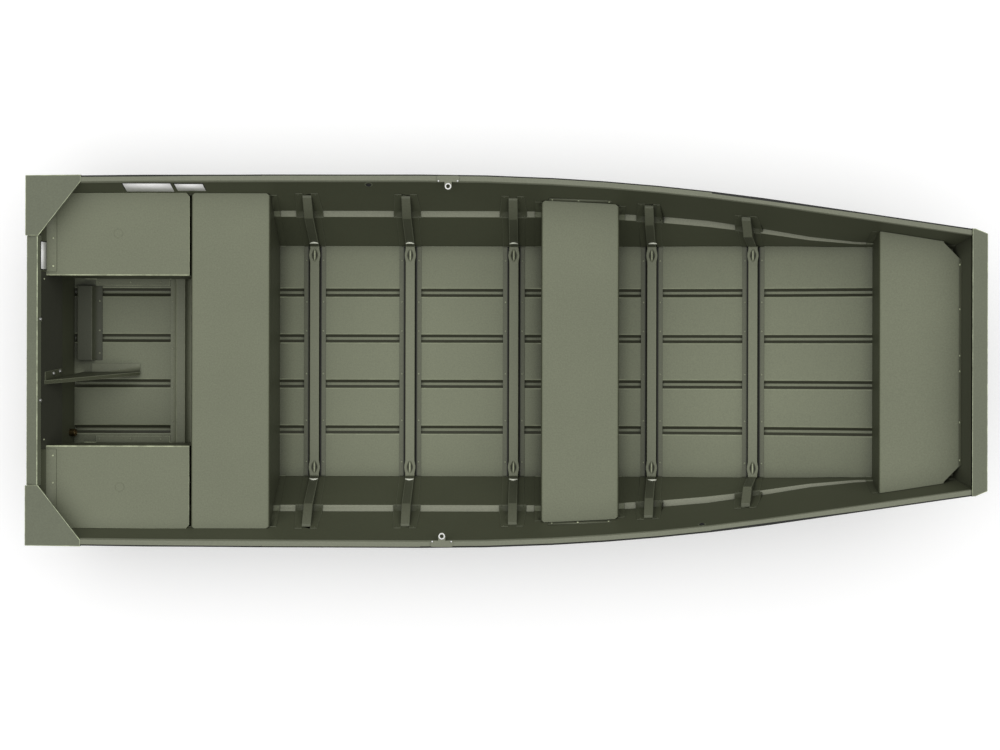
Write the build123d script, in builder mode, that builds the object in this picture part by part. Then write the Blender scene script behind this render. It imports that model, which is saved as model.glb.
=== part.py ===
"""Flat-bottomed riveted aluminium jon boat, twelve foot class, built up from folded sheet.

The hull is a corrugated bottom sheet, two creased side sheets, a raked stern transom with a wooden core and a
blunt raked bow panel. Hat-section ribs cross the floor and run up the sides. Folded sheet benches, two stern
boxes and a bow deck are flanged to the hull. +X is towards the bow, +Y is port, +Z is up, and the origin is on
the ground under the middle of the boat. Lengths along the hull are distances forward of the stern.
"""

import os
from math import asin, cos, hypot, radians, sin, sqrt, tan

from build123d import *

# Hull lines, in millimetres, measured to the inner face of the side sheets
LENGTH = 3630.0
CHINE_HALF = 457.0
CREASE_FLARE = 102.5  # from the chine out to the crease
LEDGE_WIDTH = 23.0
SHEER_FLARE = 103.5  # from the ledge's outer edge out to the sheer
CREASE_HALF = CHINE_HALF + CREASE_FLARE
SHEER_HALF = CREASE_HALF + LEDGE_WIDTH + SHEER_FLARE
CHINE_ARC = (LENGTH - 1030.0, LENGTH + 70.0, 20500.0)  # start, end and radius of the curve in plan
CREASE_ARC = (LENGTH - 1730.0, LENGTH - 730.0, 6900.0)
SHEER_ARC = (LENGTH - 2130.0, LENGTH - 730.0, 9333.0)
STERN_TUCK_FROM = 900.0
STERN_TUCK_RADIUS = 58000.0
RISE_START = LENGTH - 1530.0
RISE_RADIUS = 3500.0
SHEER_AFT = 405.0
SHEER_SPRING = 105.0
CREASE_HEIGHT = 205.0
CREASE_ABOVE_CHINE = 18.0
LEDGE_RISE = 13.0
LEDGE_FADE = (LENGTH - 1030.0, LENGTH - 180.0)
LEDGE_LEAST = 2.0

# Sheet and fit
SHEET = 2.5
GAUGE = 2.0
FIT = 0.3
STRAKE_DEPTH = 10.0
STRAKE_TOP_HALF = 18.0
STRAKE_FLAT_HALF = 5.0
STRAKES = (90.0, 272.0)  # distance of each pair of strakes from the centre line
STERN_STATIONS = (-60.0, STERN_TUCK_FROM / 2, STERN_TUCK_FROM)
BOW_STATIONS = (2130.0, 1880.0, 1630.0, 1430.0, 1230.0, 1030.0, 830.0, 630.0, 450.0, 300.0, 160.0, -50.0)
STATIONS = tuple(sorted({*STERN_STATIONS, *(LENGTH - back for back in BOW_STATIONS)}))

# Transom and bow
TRANSOM_RAKE = 14.0
TRANSOM_HEIGHT = SHEER_AFT - 14.0
TRANSOM_SETBACK = 5.0
TRANSOM_FOOT = 1.5
BOARD_THICKNESS = 38.0
BOARD_DEPTH = 212.0
BOARD_SIDE_GAP = 6.0
TRANSOM_CAP_LEG = 28.0
BOW_RAKE = 15.0
BOW_CAP_WIDTH = 58.5
BOW_CAP_AFT = LENGTH - BOW_CAP_WIDTH
BOW_CAP_HEIGHT = SHEER_AFT + SHEER_SPRING + 1.0
BOW_CAP_CLIP = (46.0, 19.0)
BOW_CAP_RIM = 20.0
BOW_CAP_REAR_INSET = 40.0
BOW_CAP_REAR_RIM = 14.0
BOW_INNER_AT = BOW_CAP_AFT + 12.5
BOW_INNER_HEIGHT = BOW_CAP_HEIGHT - 6.0

# Gunwale and corner plates
GUNWALE_LIP = 2.5
GUNWALE_REACH = 21.5
GUNWALE_ROUND = 6.0
GUNWALE_DEPTH = 28.0
GUNWALE_LIP_DEPTH = 12.0
GUNWALE_AFT = 3.0
CORNER_LENGTH = 210.0
CORNER_WIDTH = 228.6
CORNER_DEPTH_AFT = 51.0
CORNER_RIM = 22.0
CORNER_INNER_RIM = 12.0
RAIL_HEIGHT = 30.0
RAIL_FOOT = 25.0
RAIL_DROP = 2.2

# Ribs: number, distance forward of the stern
RIBS = ((1, 1058.0), (2, 1437.0), (3, 1848.0), (4, 2394.0), (5, 2789.0))
HAT_HEIGHT = 22.0
HAT_TOP_HALF = 17.5
HAT_FOOT_HALF = 22.0
HAT_FLANGE_HALF = 43.0
RIB_TOP = SHEER_AFT - 87.0
RIB_TOP_DEPTH = 10.0
RIB_KNEE_DEPTH = 49.0
RIB_KNEE_BELOW = 68.0
RIB_KNEE_ABOVE_HAT = 20.0
LEG_REACH = 150.0  # more than a leg's lean along the hull
LEG_ROOT = 2.0  # from the chine's inner line in to the foot of each leg
FOOT_HALF = 53.5
FOOT_TOP_HALF = 43.0
FOOT_ABOVE = 12.0
DIMPLE_LENGTH = 66.0
DIMPLE_WIDTH = 16.0
DIMPLE_DEPTH = 6.0
DIMPLE_FROM_CHINE = 36.0

# Benches: name, aft edge, fore edge, height of the top
AFT_BENCH = (617.0, 919.0, SHEER_AFT - 75.0)
MID_BENCH = (1957.0, 2256.0, SHEER_AFT - 100.0)
BENCH_BEND = 12.0
BENCH_CORNER = (18.0, 10.0)
SIDE_FLANGE = 25.0
SIDE_FLANGE_ROOT = 4.0
BENCH_MARGIN = 60.0  # how far past a bench its share of the hull's space is worked out
END_GAP = FIT + GAUGE / 2  # the ends of the benches lap onto their own flanges
DECK_AFT = LENGTH - 387.0
DECK_HEIGHT = SHEER_AFT - 30.0
DECK_FORE_CORNER = (58.0, 58.0)
DECK_LIP = 16.0

# Stern boxes, their angles, and the bilge pieces between them
BOX_INNER = 325.0
BOX_SEAM = 6.0
BOX_BEND = 6.0
BOX_FLOOR_FLANGE = 26.0
BOX_CORNER = 16.0
ANGLE_LEG = 41.0
ANGLE_RISE = 42.0
ANGLE_INSETS = (14.0, 30.0)  # from the box's inner face and from the side sheet
BILGE_RIB_AT = 528.0
BOX_FLANGE_RANGE = (190.0, BILGE_RIB_AT - HAT_FLANGE_HALF - 3.0)
CHANNEL_RANGE = (120.0, 178.0)
CHANNEL_HEIGHT = 30.0
CHANNEL_SLOPE = 10.0
CHANNEL_FLANGE = 26.0
CHANNEL_SPAN = (2.0, BOX_INNER - BOX_FLOOR_FLANGE - 3.0)
KNEE_FOLD = -44.0
KNEE_LEAN = 5.7
KNEE_FORE = 364.0
KNEE_FORE_HEIGHT = 12.0
KNEE_TOP = TRANSOM_HEIGHT - 46.0
KNEE_FLANGE = 14.0
KNEE_FOOT = 32.0
KNEE_FOOT_AFT = 172.0
KNEE_PAD = (KNEE_TOP - 150.0, KNEE_TOP - 15.0, 34.0)  # lowest and highest point, and width towards port

# Fittings
SOCKETS = (("oarlock_socket_port", 1604.0, 1), ("oarlock_socket_starboard", 1583.0, -1))
SOCKET_INBOARD = 23.0
SOCKET_BORE = 6.6
SOCKET_RADIUS = 13.5
SOCKET_DROP = 14.0
SOCKET_PLATE = (84.0, 17.0, 3.0)
GROMMETS = (("grommet_port", 1300.0, 1), ("grommet_starboard", 2567.0, -1))
GROMMET_RADIUS = 9.0
GROMMET_BORE = 5.0
GROMMET_HEIGHT = 3.0
GROMMET_BELOW = 32.0
DRAIN_AT = 40.0 - BOX_INNER
DRAIN_HEIGHT = STRAKE_DEPTH + 32.0
DRAIN_BORE = 12.5
DRAIN_WALL = 2.0
DRAIN_FLANGE = 22.0
DRAIN_LENGTH = 26.0
BOW_EYE_HEIGHT = BOW_CAP_HEIGHT - 111.0
BOW_EYE_RADIUS = 19.0
BOW_EYE_BORE = 10.0
BOW_EYE_THICKNESS = 9.0
BOW_EYE_PAD = (60.0, 70.0, 3.0)

BIG = 900.0  # larger than any cross-section of the hull

os.makedirs("parts", exist_ok=True)


def at(distance):
    """X of a place that is this far forward of the stern."""
    return distance - LENGTH / 2


def bend(distance, start, end, radius):
    """Drop of a line that runs straight to start, follows an arc to end, then runs straight again."""
    along = min(max(distance - start, 0), end - start)
    return along**2 / (2 * radius) + max(distance - end, 0) * (end - start) / radius


def rise(distance):
    """Height of the bottom sheet's underside over its flat part."""
    return RISE_RADIUS - sqrt(RISE_RADIUS**2 - max(distance - RISE_START, 0) ** 2)


def sheer_height(distance):
    """Height of the gunwale's top."""
    return SHEER_AFT + SHEER_SPRING * (distance / LENGTH) ** 2


def shifted(points, distance):
    """A polyline moved to its right by the distance, with mitred corners."""
    normals = []
    for (y0, z0), (y1, z1) in zip(points, points[1:]):
        run = hypot(y1 - y0, z1 - z0)
        normals.append(((z1 - z0) / run, -(y1 - y0) / run))
    moved = []
    for i, (y, z) in enumerate(points):
        before, after = normals[max(i - 1, 0)], normals[min(i, len(normals) - 1)]
        share = distance / (1 + before[0] * after[0] + before[1] * after[1])
        moved.append((y + share * (before[0] + after[0]), z + share * (before[1] + after[1])))
    return moved


def station_line(distance, outward):
    """Side sheet's inner face at one station, from chine to sheer, as (y, z), moved outboard by outward."""
    low = STRAKE_DEPTH + rise(distance)
    fade = (distance - LEDGE_FADE[0]) / (LEDGE_FADE[1] - LEDGE_FADE[0])
    ledge = LEDGE_WIDTH + (LEDGE_LEAST - LEDGE_WIDTH) * min(max(fade, 0), 1)
    chine = CHINE_HALF - bend(distance, *CHINE_ARC)
    crease_height = max(CREASE_HEIGHT, low + CREASE_ABOVE_CHINE)
    flare = CREASE_ABOVE_CHINE / 2
    crease = max(CREASE_HALF - bend(distance, *CREASE_ARC), chine + flare)
    tuck = max(STERN_TUCK_FROM - distance, 0) ** 2 / (2 * STERN_TUCK_RADIUS)
    sheer = SHEER_HALF - tuck - bend(distance, *SHEER_ARC)
    line = [
        (chine, low),
        (crease, crease_height),
        (crease + ledge, crease_height + LEDGE_RISE * ledge / LEDGE_WIDTH),
        (sheer, sheer_height(distance) - SHEET - FIT),
    ]
    return shifted(line, outward)


def side_line(distance, outward=0.0):
    """The same line anywhere, straight from each station to the next, as the sheets are."""
    spans = list(zip(STATIONS, STATIONS[1:]))
    aft, fore = next((span for span in spans if distance <= span[1]), spans[-1])
    share = (distance - aft) / (fore - aft)
    pairs = zip(station_line(aft, outward), station_line(fore, outward))
    return [(y0 + (y1 - y0) * share, z0 + (z1 - z0) * share) for (y0, z0), (y1, z1) in pairs]


def gunwale_top(distance):
    """Height of the gunwale's top as it is built."""
    return side_line(distance)[-1][1] + SHEET + FIT


def half_width(distance, height, outward=0.0):
    """Half the width between the side sheets at a station and height."""
    line = side_line(distance, outward)
    for (y0, z0), (y1, z1) in zip(line, line[1:]):
        if height <= z1:
            return y0 + (y1 - y0) * (height - z0) / (z1 - z0)
    return line[-1][0]


def side_face(distance, height, side):
    """Plane on a side sheet's inner face, x forward along the sheet and z into the boat."""
    step = 10.0
    slope = (half_width(distance + step, height) - half_width(distance - step, height)) / (2 * step)
    flare = (half_width(distance, height + step) - half_width(distance, height - step)) / (2 * step)
    origin = (at(distance), side * half_width(distance, height), height)
    return Plane(origin=origin, x_dir=(1, side * slope, 0), z_dir=(slope, -side, flare))


def extended(line, down, up):
    """A side line lengthened along its own slopes at both ends."""
    (y0, z0), (y1, z1) = line[:2]
    (y2, z2), (y3, z3) = line[-2:]
    foot = (y0 - (y1 - y0) * down / (z1 - z0), z0 - down)
    head = (y3 + (y3 - y2) * up / (z3 - z2), z3 + up)
    return [foot, *line, head]


def lofted(section, stations=STATIONS):
    """Solid through one (y, z) outline per station, straight from each station to the next."""
    with BuildPart(mode=Mode.PRIVATE) as strip:
        for station in stations:
            with BuildSketch(Plane.YZ.offset(at(station))):
                with BuildLine():
                    Polyline(*section(station), close=True)
                make_face()
        loft(ruled=True)
    return strip.part


def hull_core(inset, aft=STATIONS[0], fore=STATIONS[-1]):
    """Space between the side sheets, inset from their inner faces, from below the chine to above the sheer."""

    def outline(station):
        port = extended(side_line(station, -inset), 40, 60)
        return port + [(-y, z) for y, z in reversed(port)]

    return lofted(outline, (aft, *(s for s in STATIONS if aft < s < fore), fore))


def below_floor(level):
    """Everything under a surface that lies this far above the bottom sheet's underside."""
    radius = RISE_RADIUS - level
    start = (at(RISE_START), STRAKE_DEPTH + level)
    sweep_angle = 28.0
    end = (start[0] + radius * sin(radians(sweep_angle)), start[1] + radius * (1 - cos(radians(sweep_angle))))
    with BuildPart(mode=Mode.PRIVATE) as ground:
        with BuildSketch(Plane.XZ):
            with BuildLine():
                Line((at(-200), start[1]), start)
                TangentArc(start, end, tangent=(1, 0))
                Polyline(end, (end[0], -200), (at(-200), -200), (at(-200), start[1]))
            make_face()
        extrude(amount=BIG, both=True)
    return ground.part


TRANSOM = Plane(
    origin=(at(TRANSOM_SETBACK), 0, TRANSOM_HEIGHT),
    x_dir=(0, 1, 0),
    z_dir=(cos(radians(TRANSOM_RAKE)), 0, sin(radians(TRANSOM_RAKE))),
)
BOW = Plane(
    origin=(at(BOW_INNER_AT), 0, BOW_INNER_HEIGHT),
    x_dir=(0, 1, 0),
    z_dir=(cos(radians(BOW_RAKE)), 0, -sin(radians(BOW_RAKE))),
)
BOARD_FACE = SHEET + FIT + BOARD_THICKNESS  # the board's inner face, forward of the transom's outer face


def transom_station(height, forward):
    """Distance forward of the stern of a plane parallel to the transom, at a height."""
    slope = tan(radians(TRANSOM_RAKE))
    return TRANSOM_SETBACK + forward / cos(radians(TRANSOM_RAKE)) + (TRANSOM_HEIGHT - height) * slope


def floor_plane(distance, lift=FIT):
    """Plane on the floor at a station: x along the floor, y to port, z square to the floor."""
    angle = asin(max(distance - RISE_START, 0) / RISE_RADIUS)
    tangent, normal = (cos(angle), 0, sin(angle)), (-sin(angle), 0, cos(angle))
    height = STRAKE_DEPTH + rise(distance)
    thick = SHEET + lift
    origin = (at(distance) + normal[0] * thick, 0, height + normal[2] * thick)
    return Plane(origin=origin, x_dir=tangent, z_dir=normal)


def room(aft, fore, side_gap=FIT, floor_gap=FIT):
    """Space inside the hull between two stations, this clear of the side and floor sheets."""
    return hull_core(side_gap, aft, fore) - below_floor(SHEET + floor_gap)


def lining(aft, fore):
    """A layer of sheet laid against the inside of the hull between two stations."""
    return room(aft, fore) - room(aft, fore, FIT + GAUGE, FIT + GAUGE)


def box_between(low, high):
    """Box from its lowest to its highest corner."""
    size = [b - a for a, b in zip(low, high)]
    centre = [(a + b) / 2 for a, b in zip(low, high)]
    return Pos(*centre) * Box(*size)


def finish(piece, name):
    """Labels a piece and writes its STEP file."""
    piece.label = name
    export_step(piece, f"parts/{name}.step")


def both_sides(piece, name):
    """Writes a port piece and its mirror image."""
    finish(piece, name + "_port")
    finish(mirror(piece, Plane.XZ), name + "_starboard")


# Bottom sheet with its pressed strakes, flat aft and rolled up to the bow
def bottom_outline():
    top, under = [], []
    for centre in sorted([*STRAKES, *(-s for s in STRAKES)]):
        for reach, depth in ((-STRAKE_TOP_HALF, 0), (-STRAKE_FLAT_HALF, 1), (STRAKE_FLAT_HALF, 1), (STRAKE_TOP_HALF, 0)):
            under.append((centre + reach, STRAKE_DEPTH * (1 - depth)))
    edge = CHINE_HALF + STRAKE_TOP_HALF
    under = [(-edge, STRAKE_DEPTH), *under, (edge, STRAKE_DEPTH)]
    top = [(y, z + SHEET) for y, z in reversed(under)]
    return under + top


with BuildPart() as bottom_panel:
    with BuildSketch(Plane.YZ.offset(at(RISE_START))):
        with BuildLine():
            Polyline(*bottom_outline(), close=True)
        make_face()
    extrude(amount=-(RISE_START + 60))
    with BuildSketch(Plane.YZ.offset(at(RISE_START))):
        with BuildLine():
            Polyline(*bottom_outline(), close=True)
        make_face()
    revolve(axis=Axis((at(RISE_START), 0, STRAKE_DEPTH + RISE_RADIUS), (0, -1, 0)), revolution_arc=27)
    add(hull_core(2 * FIT), mode=Mode.INTERSECT)
    split(bisect_by=TRANSOM.offset(SHEET + FIT), keep=Keep.TOP)
    split(bisect_by=BOW.offset(-FIT), keep=Keep.BOTTOM)
finish(bottom_panel.part, "bottom_panel")


# Side sheets, each with the long crease
def side_section(station):
    return side_line(station) + list(reversed(side_line(station, SHEET)))


with BuildPart() as side_panel:
    add(lofted(side_section))
    split(bisect_by=TRANSOM.offset(SHEET + FIT), keep=Keep.TOP)
    split(bisect_by=BOW.offset(-FIT), keep=Keep.BOTTOM)
both_sides(side_panel.part, "side_panel")


# Chine rails, folded angles that cover the seam between the bottom and the sides
def rail_section(station):
    inner = extended(side_line(station, SHEET + FIT), 10, 0)[:3]
    outer = extended(side_line(station, SHEET + FIT + GAUGE), 10, 0)[:3]
    (y0, z0), (y1, z1) = inner[0], inner[2]
    (y2, z2), (y3, z3) = outer[0], outer[2]
    low = STRAKE_DEPTH + rise(station) - RAIL_DROP
    reach = min(RAIL_HEIGHT, CREASE_ABOVE_CHINE - 4)
    top = low + RAIL_DROP + reach
    foot = side_line(station)[0][0] - RAIL_FOOT

    def inner_at(z):
        return y0 + (y1 - y0) * (z - z0) / (z1 - z0)

    def outer_at(z):
        return y2 + (y3 - y2) * (z - z2) / (z3 - z2)

    return [
        (inner_at(top), top),
        (inner_at(low), low),
        (foot, low),
        (foot, low - GAUGE),
        (outer_at(low - GAUGE), low - GAUGE),
        (outer_at(top), top),
    ]


with BuildPart() as chine_rail:
    add(lofted(rail_section))
    split(bisect_by=TRANSOM.offset(SHEET + FIT), keep=Keep.TOP)
    split(bisect_by=BOW.offset(-FIT), keep=Keep.BOTTOM)
both_sides(chine_rail.part, "chine_rail")


# Gunwales, channels that hook over the top edge of each side sheet
def gunwale_section(station):
    line = side_line(station)
    (y2, z2), (ys, zs) = line[-2:]
    lean = (ys - y2) / (zs - z2)
    top = gunwale_top(station)
    lip = ys - GUNWALE_LIP
    out = ys + GUNWALE_REACH
    inside = ys - FIT
    return [
        (lip - lean * GUNWALE_LIP_DEPTH, top - GUNWALE_LIP_DEPTH),
        (lip, top),
        (out - GUNWALE_ROUND, top),
        (out - GUNWALE_ROUND / 3, top - GUNWALE_ROUND / 3),
        (out, top - GUNWALE_ROUND),
        (out, top - GUNWALE_DEPTH + GUNWALE_ROUND),
        (out - GUNWALE_ROUND, top - GUNWALE_DEPTH),
        (out - GUNWALE_ROUND, top - GUNWALE_DEPTH + SHEET),
        (out - SHEET, top - GUNWALE_DEPTH + GUNWALE_ROUND),
        (out - SHEET, top - GUNWALE_ROUND),
        (out - GUNWALE_ROUND, top - SHEET),
        (inside, top - SHEET),
        (inside - lean * (GUNWALE_LIP_DEPTH - SHEET), top - GUNWALE_LIP_DEPTH),
    ]


with BuildPart() as gunwale:
    add(lofted(gunwale_section))
    split(bisect_by=Plane.YZ.offset(at(GUNWALE_AFT)), keep=Keep.TOP)
    split(bisect_by=Plane.YZ.offset(at(BOW_CAP_AFT - FIT)), keep=Keep.BOTTOM)
both_sides(gunwale.part, "gunwale")

# Transom: outer sheet, wooden board inside it, and the folded cap over both
OUTER_CORE = hull_core(-SHEET - FIT - GAUGE)

with BuildPart() as drain_hole:
    with BuildSketch(TRANSOM):
        with Locations((DRAIN_AT, (DRAIN_HEIGHT - TRANSOM_HEIGHT) / cos(radians(TRANSOM_RAKE)))):
            Circle(DRAIN_BORE + DRAIN_WALL + FIT)
    extrude(amount=DRAIN_LENGTH, both=True)

with BuildPart() as transom_skin:
    with BuildSketch(TRANSOM):
        with Locations((0, -BIG / 2)):
            Rectangle(2 * BIG, BIG)
    extrude(amount=SHEET)
    add(OUTER_CORE, mode=Mode.INTERSECT)
    split(bisect_by=Plane.XY.offset(TRANSOM_FOOT), keep=Keep.TOP)
    add(drain_hole.part, mode=Mode.SUBTRACT)
finish(transom_skin.part, "transom_skin")

with BuildPart() as transom_board:
    with BuildSketch(TRANSOM.offset(SHEET + FIT)):
        with Locations((0, -BOARD_DEPTH / 2)):
            Rectangle(2 * BIG, BOARD_DEPTH)
    extrude(amount=BOARD_THICKNESS)
    add(hull_core(BOARD_SIDE_GAP), mode=Mode.INTERSECT)
finish(transom_board.part, "transom_board")

TRANSOM_SIDE = Plane(origin=TRANSOM.origin, x_dir=TRANSOM.z_dir, z_dir=(0, -1, 0))


def gunwale_edge(distance):
    """Half the beam over the gunwales."""
    return side_line(distance)[-1][0] + GUNWALE_REACH


cap_half = gunwale_edge(0) + FIT + GAUGE - CORNER_WIDTH
with BuildPart() as transom_cap:
    with BuildSketch(TRANSOM_SIDE):
        with BuildLine():
            aft, fore = -FIT, BOARD_FACE + FIT
            Polyline(
                (aft - GAUGE, -TRANSOM_CAP_LEG),
                (aft - GAUGE, FIT + GAUGE),
                (fore + GAUGE, FIT + GAUGE),
                (fore + GAUGE, -TRANSOM_CAP_LEG),
                (fore, -TRANSOM_CAP_LEG),
                (fore, FIT),
                (aft, FIT),
                (aft, -TRANSOM_CAP_LEG),
                close=True,
            )
        make_face()
    extrude(amount=cap_half - FIT, both=True)
finish(transom_cap.part, "transom_cap")

# Stern corner plates, triangles that tie each gunwale to the transom
CORNER_TOP = gunwale_top(CORNER_LENGTH) + FIT + GAUGE
corner_outline = (
    (at(0), gunwale_edge(0) + FIT + GAUGE),
    (at(0), cap_half),
    (at(CORNER_DEPTH_AFT), cap_half),
    (at(CORNER_LENGTH), gunwale_edge(CORNER_LENGTH) - GUNWALE_REACH - GUNWALE_LIP),
    (at(CORNER_LENGTH), gunwale_edge(CORNER_LENGTH) + FIT + GAUGE),
)

with BuildPart() as corner_cap:
    with BuildSketch(Plane.XY.offset(CORNER_TOP - GAUGE)):
        with BuildLine():
            Polyline(*corner_outline, close=True)
        make_face()
    extrude(amount=GAUGE)
    with BuildSketch(Plane.XY.offset(CORNER_TOP)):
        with BuildLine():
            Polyline(
                corner_outline[0],
                corner_outline[4],
                (corner_outline[4][0], corner_outline[4][1] - GAUGE),
                (corner_outline[0][0], corner_outline[0][1] - GAUGE),
                close=True,
            )
        make_face()
        with Locations((at(GAUGE / 2), (corner_outline[0][1] + cap_half) / 2)):
            Rectangle(GAUGE, corner_outline[0][1] - cap_half)
    extrude(amount=-CORNER_RIM)
    with BuildSketch(Plane.XY.offset(CORNER_TOP)):
        with BuildLine():
            (x0, y0), (x1, y1) = corner_outline[2:4]
            run = hypot(x1 - x0, y1 - y0)
            ux, uy = (x1 - x0) / run, (y1 - y0) / run
            start, stop = 16.0, run - 16.0
            Polyline(
                (x0 + ux * start, y0 + uy * start),
                (x0 + ux * stop, y0 + uy * stop),
                (x0 + ux * stop - uy * GAUGE, y0 + uy * stop + ux * GAUGE),
                (x0 + ux * start - uy * GAUGE, y0 + uy * start + ux * GAUGE),
                close=True,
            )
        make_face()
    extrude(amount=-CORNER_INNER_RIM)
both_sides(corner_cap.part, "corner_cap")

# Bow panel and the folded cap over it
with BuildPart() as bow_panel:
    with BuildSketch(BOW):
        with Locations((0, -BIG / 2)):
            Rectangle(2 * BIG, BIG)
    extrude(amount=SHEET)
    add(OUTER_CORE, mode=Mode.INTERSECT)
    add(below_floor(-STRAKE_DEPTH + TRANSOM_FOOT), mode=Mode.SUBTRACT)
finish(bow_panel.part, "bow_panel")

bow_half = gunwale_edge(BOW_CAP_AFT)
bow_outline = (
    (at(BOW_CAP_AFT), bow_half),
    (at(LENGTH - BOW_CAP_CLIP[0]), bow_half),
    (at(LENGTH), bow_half - BOW_CAP_CLIP[1]),
)
bow_ring = bow_outline + tuple((x, -y) for x, y in reversed(bow_outline))

with BuildPart() as bow_cap:
    with BuildSketch(Plane.XY.offset(BOW_CAP_HEIGHT)):
        with BuildLine():
            Polyline(*bow_ring, close=True)
        make_face()
    extrude(amount=-BOW_CAP_RIM)
    with BuildSketch(Plane.XY.offset(BOW_CAP_HEIGHT - GAUGE)) as hollow:
        with BuildLine():
            Polyline(*bow_ring, close=True)
        make_face()
        offset(amount=-GAUGE, kind=Kind.INTERSECTION)
        with Locations((at(BOW_CAP_AFT), 0)):
            Rectangle(6 * GAUGE, 2 * (bow_half - GAUGE))
    extrude(amount=-BOW_CAP_RIM, mode=Mode.SUBTRACT)
    with BuildSketch(Plane.XY.offset(BOW_CAP_HEIGHT)):
        with Locations((at(BOW_CAP_AFT + GAUGE / 2), 0)):
            Rectangle(GAUGE, 2 * (bow_half - BOW_CAP_REAR_INSET))
    extrude(amount=-BOW_CAP_REAR_RIM)
finish(bow_cap.part, "bow_cap")


# Ribs: a hat section across the floor with a leg up each side
def hat_outline(height, top_half, foot_half, flange_half):
    outer = [(-flange_half, GAUGE), (-foot_half, GAUGE), (-top_half, height)]
    inner = [(-flange_half, 0), (-foot_half + GAUGE, 0), (-top_half + GAUGE, height - GAUGE)]
    return (
        outer
        + [(-x, z) for x, z in reversed(outer)]
        + [(-x, z) for x, z in inner]
        + list(reversed(inner))
    )


def floor_hat(distance, half_span, dimpled):
    """Hat section laid across the floor, with a pressed oval pan near each end."""
    frame = floor_plane(distance)
    cross = Plane(origin=frame.origin, x_dir=frame.x_dir, z_dir=(0, -1, 0))
    with BuildPart(mode=Mode.PRIVATE) as hat:
        with BuildSketch(cross):
            with BuildLine():
                Polyline(*hat_outline(HAT_HEIGHT, HAT_TOP_HALF, HAT_FOOT_HALF, HAT_FLANGE_HALF), close=True)
            make_face()
        extrude(amount=half_span, both=True)
        if dimpled:
            reach = half_span - DIMPLE_FROM_CHINE
            with BuildSketch(frame.offset(HAT_HEIGHT)):
                with Locations((0, reach), (0, -reach)):
                    Rectangle(DIMPLE_WIDTH + 2 * GAUGE, DIMPLE_LENGTH + 2 * GAUGE)
            extrude(amount=-DIMPLE_DEPTH - GAUGE)
            with BuildSketch(frame.offset(HAT_HEIGHT)):
                with Locations((0, reach), (0, -reach)):
                    SlotOverall(DIMPLE_LENGTH, DIMPLE_WIDTH, rotation=90)
            extrude(amount=-DIMPLE_DEPTH, mode=Mode.SUBTRACT)
    return hat.part


def leg_outline(distance, frame, shell):
    """Front of a rib's leg and the space behind it, as (y, height over the floor plane), moved back by shell."""
    line = side_line(distance)
    floor = frame.origin.Z
    root = line[0][0] - LEG_ROOT
    knee = max(RIB_TOP - RIB_KNEE_BELOW, floor + HAT_HEIGHT + RIB_KNEE_ABOVE_HAT)
    front = [
        (root, 0),
        (root, HAT_HEIGHT),
        (half_width(distance, knee) - RIB_KNEE_DEPTH, knee - floor),
        (half_width(distance, RIB_TOP) - RIB_TOP_DEPTH, RIB_TOP - floor),
    ]
    front = shifted(front, shell)
    (y0, z0), (y1, z1) = front[-2:]
    top = RIB_TOP - floor - shell
    front[-1] = (y0 + (y1 - y0) * (top - z0) / (z1 - z0), top)
    back = front[-1][0] + SHEER_HALF
    return [*front, (back, top), (back, front[0][1])]


def rib_leg(distance):
    """Port leg of a rib: a channel with side flanges that lie on the side sheet."""
    frame = floor_plane(distance)
    across = Plane(origin=frame.origin, x_dir=(0, 1, 0), z_dir=frame.x_dir)
    along = Plane(origin=frame.origin, x_dir=frame.x_dir, z_dir=(0, -1, 0))
    crease = side_line(distance)[1][1] - frame.origin.Z
    top = RIB_TOP - frame.origin.Z + FOOT_ABOVE
    space = room(distance - LEG_REACH, distance + LEG_REACH)
    layer = lining(distance - LEG_REACH, distance + LEG_REACH)
    with BuildPart(mode=Mode.PRIVATE) as leg:
        with BuildSketch(across):
            with BuildLine():
                Polyline(*leg_outline(distance, frame, 0), close=True)
            make_face()
        extrude(amount=HAT_TOP_HALF, both=True)
        with BuildSketch(across):
            with BuildLine():
                Polyline(*leg_outline(distance, frame, GAUGE), close=True)
            make_face()
        extrude(amount=HAT_TOP_HALF - GAUGE, both=True, mode=Mode.SUBTRACT)
        add(space, mode=Mode.INTERSECT)
    with BuildPart(mode=Mode.PRIVATE) as flange:
        with BuildSketch(along.offset(LEG_ROOT - side_line(distance)[0][0])):
            for side in (1, -1):
                with BuildLine():
                    Polyline(
                        (side * (HAT_TOP_HALF - GAUGE), GAUGE),
                        (side * HAT_FLANGE_HALF, GAUGE),
                        (side * HAT_FLANGE_HALF, crease - GAUGE),
                        (side * FOOT_HALF, crease - GAUGE),
                        (side * FOOT_TOP_HALF, top),
                        (side * (HAT_TOP_HALF - GAUGE), top),
                        close=True,
                    )
                make_face()
        extrude(amount=-BIG)
        add(layer, mode=Mode.INTERSECT)
    return leg.part + flange.part


for rib_number, rib_at in RIBS:
    finish(floor_hat(rib_at, side_line(rib_at)[0][0] - LEG_ROOT - FIT, True), f"floor_rib_{rib_number}")
    port_leg = rib_leg(rib_at)
    finish(port_leg, f"side_rib_port_{rib_number}")
    finish(mirror(port_leg, Plane.XZ), f"side_rib_starboard_{rib_number}")

# Short rib under the fore end of the stern well, and the channel along the transom's foot
finish(floor_hat(BILGE_RIB_AT, BOX_INNER - FIT, False), "bilge_rib")

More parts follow.
